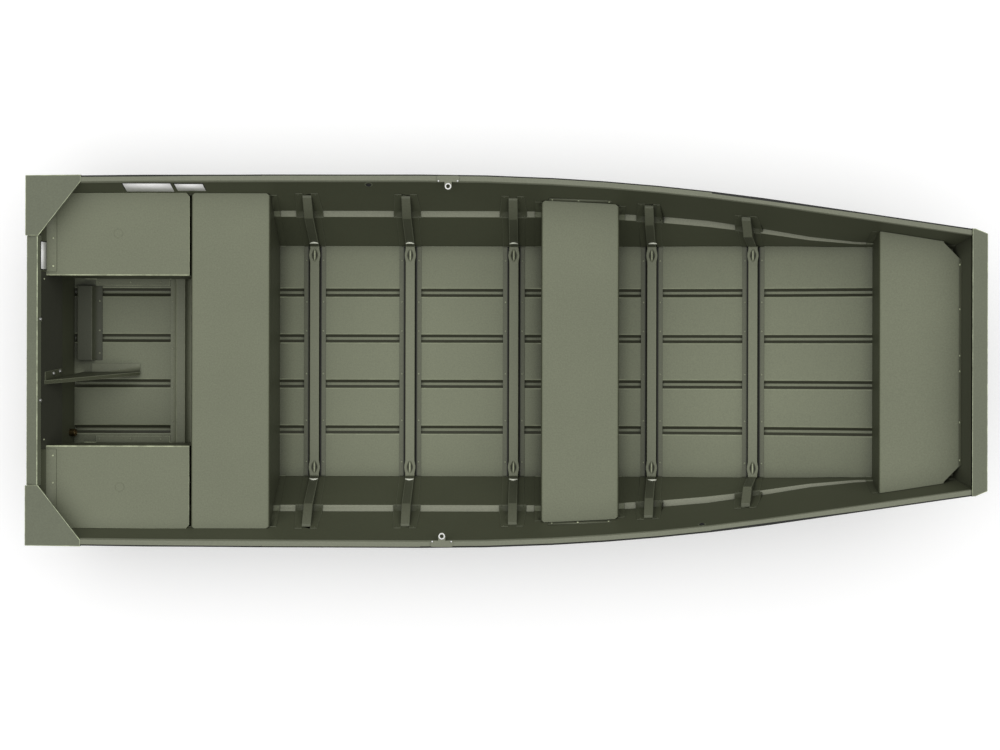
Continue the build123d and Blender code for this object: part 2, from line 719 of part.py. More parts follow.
with BuildPart() as bilge_channel:
    well_floor = STRAKE_DEPTH + SHEET + FIT
    aft, fore = CHANNEL_RANGE
    with BuildSketch(Plane.XZ.offset(-CHANNEL_SPAN[0])):
        with BuildLine():
            Polyline(
                (at(aft), well_floor),
                (at(aft), well_floor + CHANNEL_HEIGHT),
                (at(fore), well_floor + CHANNEL_HEIGHT),
                (at(fore + CHANNEL_SLOPE), well_floor + GAUGE),
                (at(fore + CHANNEL_SLOPE + CHANNEL_FLANGE), well_floor + GAUGE),
                (at(fore + CHANNEL_SLOPE + CHANNEL_FLANGE), well_floor),
                (at(fore + CHANNEL_SLOPE - GAUGE), well_floor),
                (at(fore - GAUGE), well_floor + CHANNEL_HEIGHT - GAUGE),
                (at(aft + GAUGE), well_floor + CHANNEL_HEIGHT - GAUGE),
                (at(aft + GAUGE), well_floor),
                close=True,
            )
        make_face()
    extrude(amount=-(CHANNEL_SPAN[1] - CHANNEL_SPAN[0]))
finish(bilge_channel.part, "bilge_channel")

# Knee that braces the transom board to the floor
knee_floor = STRAKE_DEPTH + SHEET + FIT
lean = radians(KNEE_LEAN)
KNEE_WEB = Plane(origin=(0, KNEE_FOLD, knee_floor), x_dir=(1, 0, 0), z_dir=(0, -cos(lean), -sin(lean)))


def board_x(height):
    """X of the board's inner face at a height, with a fitting gap."""
    return at(transom_station(height, BOARD_FACE + FIT))


knee_top = (board_x(KNEE_TOP), (KNEE_TOP - knee_floor) / cos(lean))
knee_fore = (at(KNEE_FORE), KNEE_FORE_HEIGHT)
run = hypot(knee_fore[0] - knee_top[0], knee_fore[1] - knee_top[1])
down = ((knee_fore[1] - knee_top[1]) / run * GAUGE, -(knee_fore[0] - knee_top[0]) / run * GAUGE)

with BuildPart() as transom_knee:
    with BuildSketch(KNEE_WEB):
        with BuildLine():
            Polyline((board_x(knee_floor), 0), knee_top, knee_fore, (at(KNEE_FORE), 0), close=True)
        make_face()
    extrude(amount=GAUGE)
    with BuildSketch(KNEE_WEB):
        with BuildLine():
            Polyline(
                knee_top,
                knee_fore,
                (knee_fore[0] + down[0], knee_fore[1] + down[1]),
                (knee_top[0] + down[0], knee_top[1] + down[1]),
                close=True,
            )
        make_face()
    extrude(amount=KNEE_FLANGE)
    with BuildSketch(Plane.XY.offset(knee_floor)):
        with Locations((at((KNEE_FOOT_AFT + KNEE_FORE) / 2), KNEE_FOLD + (KNEE_FOOT - GAUGE) / 2)):
            Rectangle(KNEE_FORE - KNEE_FOOT_AFT, KNEE_FOOT + GAUGE)
    extrude(amount=GAUGE)
    with BuildSketch(TRANSOM.offset(BOARD_FACE + FIT)):
        with BuildLine():
            pad_low, pad_high, pad_width = KNEE_PAD
            corners = []
            for height in (pad_low, pad_high):
                web_y = KNEE_FOLD - (height - knee_floor) * tan(lean) - GAUGE
                up = (height - TRANSOM_HEIGHT) / cos(radians(TRANSOM_RAKE))
                corners.append((web_y, up))
            (y0, v0), (y1, v1) = corners
            Polyline((y0, v0), (y0 + pad_width, v0), (y1 + pad_width, v1), (y1, v1), close=True)
        make_face()
    extrude(amount=GAUGE)
    split(bisect_by=Plane.XY.offset(knee_floor), keep=Keep.TOP)
    split(bisect_by=TRANSOM.offset(BOARD_FACE + FIT), keep=Keep.TOP)
finish(transom_knee.part, "transom_knee")


# Benches: one folded sheet each, flanged to the sides
def folded_bench(aft, fore, height):
    """Top and risers of a bench as one bent sheet across the hull."""
    left, right = at(aft), at(fore)
    with BuildPart(mode=Mode.PRIVATE) as shell:
        with BuildSketch(Plane.XZ):
            with BuildLine():
                FilletPolyline((left, 0), (left, height), (right, height), (right, 0), radius=BENCH_BEND)
                offset(amount=GAUGE, side=Side.RIGHT)
            make_face()
        extrude(amount=BIG, both=True)
    return shell.part


def side_flanges(aft, fore, height):
    """Strip of sheet on both side panels between two stations, from the floor up to a height."""
    layer = lining(aft, fore)
    inner = side_line((aft + fore) / 2)[0][0] - SIDE_FLANGE_ROOT
    layer -= box_between((at(aft) - 1, -inner, 0), (at(fore) + 1, inner, BIG))
    return layer - box_between((at(aft) - 1, -BIG, height), (at(fore) + 1, BIG, BIG))


def bench(aft, fore, height, name):
    """A bench across the hull with its corners clipped, and flanges from its risers onto the side sheets."""
    shell = folded_bench(aft, fore, height)
    space = room(aft - BENCH_MARGIN, fore + BENCH_MARGIN, END_GAP)
    aft_flanges = side_flanges(aft - SIDE_FLANGE, aft + GAUGE, height - BENCH_BEND)
    fore_flanges = side_flanges(fore - GAUGE, fore + SIDE_FLANGE, height - BENCH_BEND)
    with BuildPart() as piece:
        add(shell)
        add(space, mode=Mode.INTERSECT)
        corner_x, corner_y = BENCH_CORNER
        for station, way in ((aft, 1), (fore, -1)):
            half = half_width(station, height, -END_GAP)
            for side in (1, -1):
                with BuildSketch(Plane.XY.offset(height - BENCH_BEND)):
                    with BuildLine():
                        Polyline(
                            (at(station) - way, side * (half - corner_y)),
                            (at(station) + way * corner_x, side * (half + 3)),
                            (at(station) + way * corner_x, side * (half + 60)),
                            (at(station) - way, side * (half + 60)),
                            close=True,
                        )
                    make_face()
                extrude(amount=BENCH_BEND + 1, mode=Mode.SUBTRACT)
        add(aft_flanges)
        add(fore_flanges)
    finish(piece.part, name)


bench(*MID_BENCH, "mid_bench")
bench(*AFT_BENCH, "aft_bench")

# Bow deck: a folded top with an aft riser and an upturned lip on the bow panel
deck_fore = at(BOW_INNER_AT - FIT / cos(radians(BOW_RAKE)) - (BOW_INNER_HEIGHT - DECK_HEIGHT) * tan(radians(BOW_RAKE)))
deck_space = room(DECK_AFT - BENCH_MARGIN, STATIONS[-1], END_GAP)
deck_flanges = side_flanges(DECK_AFT - SIDE_FLANGE, DECK_AFT + GAUGE, DECK_HEIGHT - BENCH_BEND)
with BuildPart() as bow_deck:
    with BuildSketch(Plane.XZ):
        with BuildLine():
            FilletPolyline((at(DECK_AFT), 0), (at(DECK_AFT), DECK_HEIGHT), (at(LENGTH), DECK_HEIGHT), radius=BENCH_BEND)
            offset(amount=GAUGE, side=Side.RIGHT)
        make_face()
    extrude(amount=BIG, both=True)
    with BuildSketch(BOW.offset(-FIT)):
        with Locations((0, (DECK_HEIGHT - BOW_INNER_HEIGHT) / cos(radians(BOW_RAKE)) + DECK_LIP / 2)):
            Rectangle(2 * BIG, DECK_LIP + 2 * GAUGE)
    extrude(amount=-GAUGE)
    add(deck_space, mode=Mode.INTERSECT)
    split(bisect_by=BOW.offset(-FIT), keep=Keep.BOTTOM)
    fore_half = half_width(BOW_INNER_AT, DECK_HEIGHT, -END_GAP)
    with BuildSketch(Plane.XY.offset(DECK_HEIGHT - 2 * GAUGE)):
        for side in (1, -1):
            with BuildLine():
                Polyline(
                    (deck_fore - DECK_FORE_CORNER[0], side * (fore_half + 60)),
                    (deck_fore - DECK_FORE_CORNER[0], side * (fore_half + 9)),
                    (deck_fore + 8, side * (fore_half - DECK_FORE_CORNER[1])),
                    (deck_fore + 60, side * (fore_half - DECK_FORE_CORNER[1])),
                    (deck_fore + 60, side * (fore_half + 60)),
                    close=True,
                )
            make_face()
    extrude(amount=60, mode=Mode.SUBTRACT)
    add(deck_flanges)
finish(bow_deck.part, "bow_deck")

# Stern boxes either side of the well, and the angles that hold them to the transom
box_aft = transom_station(AFT_BENCH[2], BOARD_FACE + FIT)
box_fore = AFT_BENCH[0] - BOX_SEAM
box_space = room(STATIONS[0], AFT_BENCH[1], END_GAP)
with BuildPart() as stern_box:
    height = AFT_BENCH[2]
    with BuildSketch(Plane.YZ.offset(at(box_aft))):
        with BuildLine():
            FilletPolyline((BOX_INNER, 0), (BOX_INNER, height), (BIG, height), radius=BOX_BEND)
            offset(amount=GAUGE, side=Side.RIGHT)
        make_face()
    extrude(amount=box_fore - box_aft)
    with BuildSketch(Plane.XY.offset(STRAKE_DEPTH + SHEET + FIT)):
        with Locations((at(sum(BOX_FLANGE_RANGE) / 2), BOX_INNER - BOX_FLOOR_FLANGE / 2 + GAUGE / 2)):
            Rectangle(BOX_FLANGE_RANGE[1] - BOX_FLANGE_RANGE[0], BOX_FLOOR_FLANGE + GAUGE)
    extrude(amount=GAUGE)
    add(box_space, mode=Mode.INTERSECT)
    split(bisect_by=TRANSOM.offset(BOARD_FACE + FIT), keep=Keep.TOP)
    outer = half_width(box_fore, height, -END_GAP)
    with BuildSketch(Plane.XY.offset(height - 2 * BOX_BEND)):
        with BuildLine():
            Polyline(
                (at(box_fore) + 1, outer - BOX_CORNER),
                (at(box_fore) - BOX_CORNER, outer + 3),
                (at(box_fore) - BOX_CORNER, outer + 60),
                (at(box_fore) + 1, outer + 60),
                close=True,
            )
        make_face()
    extrude(amount=3 * BOX_BEND, mode=Mode.SUBTRACT)
both_sides(stern_box.part, "stern_box")

with BuildPart() as box_angle:
    angle_base = AFT_BENCH[2] + FIT
    angle_start = BOX_INNER + ANGLE_INSETS[0]
    angle_end = half_width(box_aft, angle_base) - ANGLE_INSETS[1]
    with BuildSketch(Plane.XZ.offset(-angle_start)):
        with BuildLine():
            base_x = board_x(angle_base)
            top_x = board_x(angle_base + ANGLE_RISE)
            Polyline(
                (base_x, angle_base),
                (base_x + ANGLE_LEG, angle_base),
                (base_x + ANGLE_LEG, angle_base + GAUGE),
                (base_x + GAUGE, angle_base + GAUGE),
                (top_x + GAUGE, angle_base + ANGLE_RISE),
                (top_x, angle_base + ANGLE_RISE),
                close=True,
            )
        make_face()
    extrude(amount=angle_start - angle_end)
both_sides(box_angle.part, "box_angle")

# Oarlock sockets on the gunwales
for socket_name, socket_at, side in SOCKETS:
    top = gunwale_top(socket_at + SOCKET_PLATE[0] / 2) + FIT
    edge = side_line(socket_at)[-1][0]
    ring = edge - SOCKET_INBOARD
    plate_length, plate_reach, plate_thick = SOCKET_PLATE
    with BuildPart() as socket:
        with BuildSketch(Plane.XY.offset(top)):
            with Locations((at(socket_at), side * (edge + (plate_reach - 6) / 2))):
                RectangleRounded(plate_length, plate_reach + 6, 6)
            with Locations((at(socket_at), side * (ring + edge) / 2)):
                Rectangle(2 * SOCKET_RADIUS, edge - ring)
            with Locations((at(socket_at), side * ring)):
                Circle(SOCKET_RADIUS)
        extrude(amount=plate_thick)
        with BuildSketch(Plane.XY.offset(top)):
            with Locations((at(socket_at), side * ring)):
                Circle(SOCKET_RADIUS)
        extrude(amount=-SOCKET_DROP)
        with BuildSketch(Plane.XY.offset(top + plate_thick)):
            with Locations((at(socket_at), side * ring)):
                Circle(SOCKET_BORE)
        extrude(amount=-SOCKET_DROP - plate_thick, mode=Mode.SUBTRACT)
    finish(socket.part, socket_name)

# Grommets in the side sheets under the gunwales
for grommet_name, grommet_at, side in GROMMETS:
    face = side_face(grommet_at, gunwale_top(grommet_at) - GROMMET_BELOW, side).offset(2 * FIT)
    with BuildPart() as grommet:
        with BuildSketch(face):
            Circle(GROMMET_RADIUS)
        extrude(amount=GROMMET_HEIGHT)
        with BuildSketch(face.offset(1)):
            Circle(GROMMET_BORE)
        extrude(amount=GROMMET_HEIGHT, mode=Mode.SUBTRACT)
    finish(grommet.part, grommet_name)

# Drain tube through the transom skin
DRAIN = TRANSOM.offset(-GAUGE - FIT)
drain_up = (DRAIN_HEIGHT - TRANSOM_HEIGHT) / cos(radians(TRANSOM_RAKE))
with BuildPart() as drain_tube:
    with BuildSketch(DRAIN):
        with Locations((DRAIN_AT, drain_up)):
            Circle(DRAIN_FLANGE)
    extrude(amount=GAUGE)
    with BuildSketch(DRAIN):
        with Locations((DRAIN_AT, drain_up)):
            Circle(DRAIN_BORE + DRAIN_WALL)
    extrude(amount=DRAIN_LENGTH)
    with BuildSketch(DRAIN):
        with Locations((DRAIN_AT, drain_up)):
            Circle(DRAIN_BORE)
    extrude(amount=DRAIN_LENGTH, mode=Mode.SUBTRACT)
finish(drain_tube.part, "drain_tube")

# Bow eye on the outside of the bow panel
eye_up = (BOW_EYE_HEIGHT - BOW_INNER_HEIGHT) / cos(radians(BOW_RAKE))
EYE_FACE = BOW.offset(SHEET + FIT)
eye_origin = EYE_FACE.from_local_coords(Vector(0, eye_up, 0))
EYE_SIDE = Plane(origin=eye_origin, x_dir=BOW.z_dir, z_dir=(0, -1, 0))
with BuildPart() as bow_eye:
    pad_width, pad_height, pad_thick = BOW_EYE_PAD
    with BuildSketch(EYE_FACE):
        with Locations((0, eye_up)):
            RectangleRounded(pad_width, pad_height, 12)
    extrude(amount=pad_thick)
    with BuildSketch(EYE_SIDE):
        with Locations((pad_thick + BOW_EYE_RADIUS - 3, 0)):
            Circle(BOW_EYE_RADIUS)
        with Locations((pad_thick + BOW_EYE_RADIUS / 2 - 2, 0)):
            Rectangle(BOW_EYE_RADIUS, 2 * BOW_EYE_RADIUS)
        with Locations((pad_thick + BOW_EYE_RADIUS - 3, 0)):
            Circle(BOW_EYE_BORE, mode=Mode.SUBTRACT)
    extrude(amount=BOW_EYE_THICKNESS / 2, both=True)
finish(bow_eye.part, "bow_eye")
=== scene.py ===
"""Looks of a riveted jon boat: painted folded sheet, rivets, fittings and blank plates, in a plain studio.

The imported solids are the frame. Sheet pieces are copies of their solids with merged corners and rounded
edges, the floor ribs are surfaces worked out from their section, and the small fasteners sit on the sheets
that carry them. Lengths are metres. +X is towards the bow, +Y is port and +Z is up.
"""

import math

import bmesh
import bpy
import numpy as np
from bpy.props import FloatProperty, FloatVectorProperty, IntProperty, PointerProperty
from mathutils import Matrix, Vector
from mathutils.bvhtree import BVHTree


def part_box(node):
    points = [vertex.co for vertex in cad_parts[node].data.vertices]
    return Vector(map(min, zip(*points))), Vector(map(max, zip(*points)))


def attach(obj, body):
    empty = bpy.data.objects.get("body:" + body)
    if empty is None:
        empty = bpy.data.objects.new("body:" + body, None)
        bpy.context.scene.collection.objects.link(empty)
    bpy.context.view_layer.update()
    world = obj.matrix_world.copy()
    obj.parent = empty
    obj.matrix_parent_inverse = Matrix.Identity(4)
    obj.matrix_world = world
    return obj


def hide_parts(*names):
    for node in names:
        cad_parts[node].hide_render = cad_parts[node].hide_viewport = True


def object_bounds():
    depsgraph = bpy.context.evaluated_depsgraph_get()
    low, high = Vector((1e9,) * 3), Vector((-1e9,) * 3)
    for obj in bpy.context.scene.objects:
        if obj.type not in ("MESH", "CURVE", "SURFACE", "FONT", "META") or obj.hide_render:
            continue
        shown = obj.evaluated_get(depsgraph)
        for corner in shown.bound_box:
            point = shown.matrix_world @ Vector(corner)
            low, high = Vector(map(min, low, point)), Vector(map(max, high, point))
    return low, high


bl_info = {
    "name": "Jon boat",
    "version": (1, 0, 0),
    "blender": (4, 5, 0),
    "location": "View3D > Sidebar > Boat",
    "description": "Dresses a riveted sheet boat with paint, fasteners and fittings in a plain studio",
    "category": "Object",
}

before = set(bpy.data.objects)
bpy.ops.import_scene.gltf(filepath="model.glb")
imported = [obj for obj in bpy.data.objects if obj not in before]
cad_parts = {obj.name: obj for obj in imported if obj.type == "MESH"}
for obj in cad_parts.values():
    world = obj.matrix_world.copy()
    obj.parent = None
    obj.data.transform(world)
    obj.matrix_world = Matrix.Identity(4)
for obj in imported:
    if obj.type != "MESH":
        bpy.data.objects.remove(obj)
CAD_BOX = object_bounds()
STERN_X = CAD_BOX[0].x
BODY = "root"
MM = 0.001
UP = (0.0, 0.0, 1.0)
DOWN = (0.0, 0.0, -1.0)
FORWARD = (1.0, 0.0, 0.0)
AFT = (-1.0, 0.0, 0.0)
TO_PORT = (0.0, 1.0, 0.0)
SIDES = (("port", 1.0), ("starboard", -1.0))

# Where rays start, clear of the boat
ABOVE = 1.0
BELOW = -1.0
BESIDE = 2.0
BEHIND = -3.0


# Places and rays


def box_of(node):
    """Lowest and highest corner of a CAD node as arrays."""
    low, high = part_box(node)
    return np.array(low), np.array(high)


def middle(node):
    """Centre of a CAD node's box."""
    low, high = box_of(node)
    return (low + high) / 2


def from_stern(distance):
    """X of a place this many metres forward of the stern."""
    return STERN_X + distance


def tree_of(nodes):
    """Search tree over the triangles of some CAD nodes."""
    points, triangles = [], []
    for node in nodes:
        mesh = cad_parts[node].data
        mesh.calc_loop_triangles()
        corners = np.empty(len(mesh.vertices) * 3)
        mesh.vertices.foreach_get("co", corners)
        index = np.empty(len(mesh.loop_triangles) * 3, np.int32)
        mesh.loop_triangles.foreach_get("vertices", index)
        triangles.append(index.reshape(-1, 3) + sum(len(p) for p in points))
        points.append(corners.reshape(-1, 3))
    return BVHTree.FromPolygons(np.concatenate(points).tolist(), np.concatenate(triangles).tolist())


def seats(nodes, origins, direction, along=FORWARD):
    """Frames where rays first meet some CAD nodes.

    Each frame is four rows: the place met, a tangent nearest to the direction along, the normal crossed with
    that tangent, and the surface's normal on the ray's side. A ray that meets nothing raises an error.
    """
    tree = tree_of(nodes)
    ray = Vector(direction).normalized()
    frames = []
    for origin in origins:
        place, normal, _, _ = tree.ray_cast(Vector(origin), ray)
        if place is None:
            raise RuntimeError(f"no seat on {nodes} from {tuple(origin)}")
        if normal.dot(ray) > 0:
            normal = -normal
        first = (Vector(along) - normal * normal.dot(Vector(along))).normalized()
        frames.append((place, first, normal.cross(first), normal))
    return np.array(frames, float)


# Meshes


def grid_faces(rows, columns, wrap_rows=False, wrap_columns=False):
    """Quads that join a grid of points to its next row and next column, which may wrap round."""
    row = np.arange(rows if wrap_rows else rows - 1)
    column = np.arange(columns if wrap_columns else columns - 1)
    a, b = (m.ravel() for m in np.meshgrid(row, column, indexing="ij"))
    c, d = (a + 1) % rows, (b + 1) % columns
    return np.stack([a * columns + b, a * columns + d, c * columns + d, c * columns + b], -1)


def turned(radius, height, sides):
    """Rings round Z: point (radius_i cos t_j, radius_i sin t_j, height_i), with t_j = 2 pi j / sides."""
    turn = 2 * math.pi * np.arange(sides) / sides
    flat = [np.outer(radius, wave(turn)) for wave in (np.cos, np.sin)]
    return np.stack([*flat, np.outer(height, np.ones(sides))], -1).reshape(-1, 3)


def lathe(profile, sides):
    """A profile of (radius, height) pairs turned about Z, closed flat at both ends."""
    radius, height = np.array(profile, float).T
    faces = grid_faces(len(profile), sides, wrap_columns=True).tolist()
    last = (len(profile) - 1) * sides
    ends = [list(range(sides))[::-1], list(range(last, last + sides))]
    return turned(radius, height, sides), faces + ends


def repeated(shape, frames):
    """One shape at many frames: each point is place + x first + y second + z normal."""
    points, faces = shape
    frames = np.asarray(frames, float)
    placed = frames[:, None, 0] + np.einsum("mk,nkd->nmd", points, frames[:, 1:])
    count = len(points)
    moved = [[i + k * count for i in face] for k in range(len(frames)) for face in faces]
    return placed.reshape(-1, 3), moved


def joined(parts):
    """Several (points, faces) shapes as one."""
    points, faces, start = [], [], 0
    for some, these in parts:
        points.append(np.asarray(some, float))
        faces += [[i + start for i in face] for face in these]
        start += len(some)
    return np.concatenate(points), faces


def show(obj, materials, replaces=()):
    """Puts an object in the scene as a piece of the boat, with its materials."""
    for material in materials:
        obj.data.materials.append(material)
    bpy.context.scene.collection.objects.link(obj)
    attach(obj, BODY)
    if replaces:
        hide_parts(*replaces)
    return obj


def piece(name, shape, materials, replaces=()):
    """A piece of the boat from points and faces, shaded smooth.

    A third part of the shape, if it has one, is a painted shade for each point, which darkens or lightens the
    paint.
    """
    points, faces, *shades = shape
    mesh = bpy.data.meshes.new(name)
    mesh.from_pydata(np.asarray(points, float).tolist(), [], [list(map(int, face)) for face in faces])
    mesh.shade_smooth()
    if shades:
        shade = mesh.attributes.new("shade", "FLOAT", "POINT")
        shade.data.foreach_set("value", np.ravel(shades[0]).astype(np.float32))
    mesh.update()
    return show(bpy.data.objects.new(name, mesh), materials, replaces)


MERGE = 2e-6
BEVEL_SEGMENTS = 3
FLAT = math.radians(0.4)
SHARP = math.radians(24)
CREASE = math.radians(12)
THIN = 3.2 * MM  # a face narrower than this is the cut edge of a sheet


def narrow(face):
    """Whether a face is as narrow as a sheet's cut edge."""
    return 2 * face.calc_area() / face.calc_perimeter() < THIN


def keep_flat(obj):
    """Shades the large faces of a piece flat, up to its rounded edges."""
    level = obj.modifiers.new("flat faces stay flat", "WEIGHTED_NORMAL")
    level.weight = 80
    return level


def softened(name, node, materials, sizes, fold=None, zone=None, rounded=1, cut=None):
    """Copy of a CAD node with merged corners, flat faces rejoined and outer edges rounded.

    Edges at a cut through the sheet are rounded by the cut radius, and the outside of each fold by the fold
    radius. Inner corners stay sharp. The rounded faces take the material numbered rounded, or that of their
    neighbours with -1. A zone is a function from a face's centre and normal to the number of its material.
    """
    fold = fold or sizes.fold_radius
    cut = cut or sizes.cut_radius
    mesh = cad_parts[node].data.copy()
    mesh.name = name
    mesh.materials.clear()
    work = bmesh.new()
    work.from_mesh(mesh)
    bmesh.ops.remove_doubles(work, verts=work.verts[:], dist=MERGE)
    bmesh.ops.dissolve_limit(work, angle_limit=FLAT, verts=work.verts[:], edges=work.edges[:])
    weight = work.edges.layers.float.new("bevel_weight_edge")
    for edge in work.edges:
        if len(edge.link_faces) != 2:
            continue
        angle = edge.calc_face_angle(0.0)
        if edge.is_convex and angle >= SHARP:
            thin = any(narrow(face) for face in edge.link_faces)
            edge[weight] = (cut if thin else fold) / fold
        elif angle >= CREASE:
            edge.smooth = False
    for face in work.faces:
        face.smooth = True
        face.material_index = zone(face.calc_center_median(), face.normal) if zone else 0
    work.to_mesh(mesh)
    work.free()
    obj = bpy.data.objects.new(name, mesh)
    show(obj, materials, (node,))
    bevel = obj.modifiers.new("rounded edges", "BEVEL")
    bevel.limit_method = "WEIGHT"
    bevel.width = fold
    bevel.segments = BEVEL_SEGMENTS
    bevel.use_clamp_overlap = False
    bevel.material = rounded if len(materials) > 1 else -1
    keep_flat(obj).keep_sharp = True
    return obj


# Shapes of the small forms

# How far a fastener's foot, and that of a plate or a bead, reaches under the sheet
HEAD_SUNK = 0.3 * MM
PLATE_SUNK = 0.2 * MM


def round_head(radius, height, sides):
    """Head of a rivet: a low dome on a short skirt, from a foot just under the sheet.

    The profile is (radius cos t, height (0.25 + 0.75 sin t)) for t from 0 to 80 degrees.
    """
    turn = np.radians([0.0, 30.0, 58.0, 80.0])
    rings = np.stack([radius * np.cos(turn), height * (0.25 + 0.75 * np.sin(turn))], -1)
    return lathe([(radius, -HEAD_SUNK), *rings], sides)


def bolt_head(radius, height, washer):
    """Six-sided bolt head on a round washer: a wide ring with a prism on it, both with a small chamfer."""
    thick = 1.6 * MM
    chamfer = 0.4 * MM
    overlap = 0.1 * MM
    ring = lathe([(washer, -HEAD_SUNK), (washer, thick - chamfer), (washer * 0.94, thick)], 20)
    head = lathe([(radius, thick - overlap), (radius, height * 0.85), (radius * 0.9, height)], 6)
    return joined([ring, head])


def ring_bead(radius, width, height, sides=40):
    """Low raised ring: (radius + width cos t / 2, height sin t), t from 0 to 180 degrees, turned about Z."""
    turn = np.radians(np.linspace(0, 180, 7))
    across = radius + width / 2 * np.cos(turn)
    up = height * np.sin(turn) - PLATE_SUNK
    return turned(across, up, sides), grid_faces(len(turn), sides, True, True).tolist()


def slab(corners, thick):
    """Flat plate on a sheet, with the given (x, y) corners, counter-clockwise, and its thickness."""
    count = len(corners)
    flat = np.array(corners, float)
    points = np.concatenate([np.column_stack([flat, np.full(count, up)]) for up in (-PLATE_SUNK, thick)])
    sides = [[i, (i + 1) % count, count + (i + 1) % count, count + i] for i in range(count)]
    return points, [list(range(count))[::-1], list(range(count, 2 * count)), *sides]


# Section of a floor rib, in millimetres: half of its flanges, foot and top, its height and its sheet
HAT = {"flange": 43.0, "foot": 22.0, "top": 17.5, "height": 22.0, "sheet": 2.0}
# A rib's wall from its foot up: share of the way from the top's edge out to the foot, and height
HAT_WALL = ((1.0, 2.3), (0.93, 3.2), (0.80, 5.0), (0.2, 19.6), (0.07, 21.2))
HAT_ROWS = (0.0, 60.0, 160.0, 260.0)
HAT_THICK = 0.9 * HAT["sheet"] * MM
TOP_ROUNDING = 1.2
PAN_HALF_LENGTH = 30.0
PAN_HALF_WIDTH = 14.0
PAN_DEPTH = 5.5
PAN_FROM_END = 34.5
PAN_LEAD = 40.0
PAN_ROWS = 27
TOP_COLUMNS = 25
TOP_BULGE = 4.0
BULGE_FROM = 5.0
BULGE_OVER = 15.0
# Painted shade and highlight of a rib's points: flanges, walls, upper edges, the pan's groove and raised
# middle
FLANGE_SHADE = 0.66
WALL_SHADE = 0.05
EDGE_SHADE = 1.15
GROOVE_PAINTED_SHADE = 0.93
MIDDLE_PAINTED_HIGHLIGHT = 1.6


def rib_frame(node):
    """Middle of a floor rib at the floor, and its directions along the boat, across it and off the floor."""
    low, high = box_of(node)
    place, along, across, normal = seats([node], [((low[0] + high[0]) / 2, 0.0, ABOVE)], DOWN)[0]
    return place - normal * HAT["height"] * MM, along, across, normal


def hat_surface(node):
    """A floor rib worked out from its section, with a pressed pan near each end.

    At v along the rib and column c of the section, the point is (u, v, w) in the rib's own frame. The top is
    widened by bulge = TOP_BULGE cos^2(pi d / 2) and sunk by PAN_DEPTH sin^2(pi r) cos(pi d / 2), where d is
    the distance from the pan's middle over its half length and r is |u| over the pan's half width there, so
    the pan is a groove round a raised middle. Each point has a painted shade: dark on the flanges, darker on
    the walls and in the groove, and light on the top's edges, with a painted highlight on the pan's middle.
    """
    base, along, across, normal = rib_frame(node)
    half = box_of(node)[1][1] / MM
    side = [(-HAT["flange"], 0.4), (-HAT["flange"] + 0.5, HAT["sheet"])]
    side += [(-HAT["foot"] - step, HAT["sheet"]) for step in (6, 3)]
    side += [(-HAT["top"] - (HAT["foot"] - HAT["top"]) * share, height) for share, height in HAT_WALL]
    side_u, side_w = np.array(side).T
    middle_v = half - PAN_FROM_END
    pan_rows = middle_v + np.linspace(-PAN_HALF_LENGTH, PAN_HALF_LENGTH, PAN_ROWS)
    outward = np.array([*HAT_ROWS, pan_rows[0] - PAN_LEAD, *pan_rows, half])
    v = np.concatenate([-outward[:0:-1], outward])[:, None]
    share = np.cos(math.pi / 2 * np.clip((np.abs(v) - middle_v) / PAN_HALF_LENGTH, -1, 1))
    bulge = TOP_BULGE * share**2
    top_u = np.linspace(-1, 1, TOP_COLUMNS) * (HAT["top"] - TOP_ROUNDING + bulge)
    inside = np.clip(np.abs(top_u) / np.maximum(PAN_HALF_WIDTH * share, 1e-6), 0, 1)
    groove = np.sin(math.pi * inside) ** 2 * share
    left_u = side_u - bulge * np.clip((side_w - BULGE_FROM) / BULGE_OVER, 0, 1)
    left_w = np.repeat(side_w[None], len(v), 0)
    u = np.hstack([left_u, top_u, -left_u[:, ::-1]])[..., None]
    w = np.hstack([left_w, HAT["height"] - PAN_DEPTH * groove, left_w[:, ::-1]])[..., None]
    points = base + MM * (u * along + v[..., None] * across + w * normal)
    flank = np.array([FLANGE_SHADE] * 3 + [WALL_SHADE] * (len(side) - 4) + [EDGE_SHADE])
    flank = np.repeat(flank[None], len(v), 0)
    raised = np.clip(1 - inside / 0.4, 0, 1) * np.clip(share * 3 - 1.2, 0, 1)
    shade = np.hstack([flank, 1.0 - GROOVE_PAINTED_SHADE * groove + MIDDLE_PAINTED_HIGHLIGHT * raised, flank[:, ::-1]])
    return points.reshape(-1, 3), grid_faces(*u.shape[:2]).tolist(), shade


def crescent(half_width, arch, thick, sides=8, steps=17):
    """A bent bead: its middle line is (u, arch (1 - (u / half width)^2), 0), and it thins to its ends.

    Round that line the point is thick f cos t outward and thick f sin t off the sheet, with
    f = sqrt(1 - 0.9 (u / half width)^2).
    """
    u = np.linspace(-half_width, half_width, steps)[:, None]
    fade = np.sqrt(1 - 0.9 * (u / half_width) ** 2)
    turn = 2 * math.pi * np.arange(sides) / sides
    outward = arch * (1 - (u / half_width) ** 2) + thick * fade * np.cos(turn)
    points = np.stack([np.repeat(u, sides, 1), outward, thick * fade * np.sin(turn)], -1).reshape(-1, 3)
    faces = grid_faces(steps, sides, wrap_columns=True)[:, ::-1].tolist()
    last = (steps - 1) * sides
    return points, faces + [list(range(sides)), list(range(last, last + sides))[::-1]]


# Materials


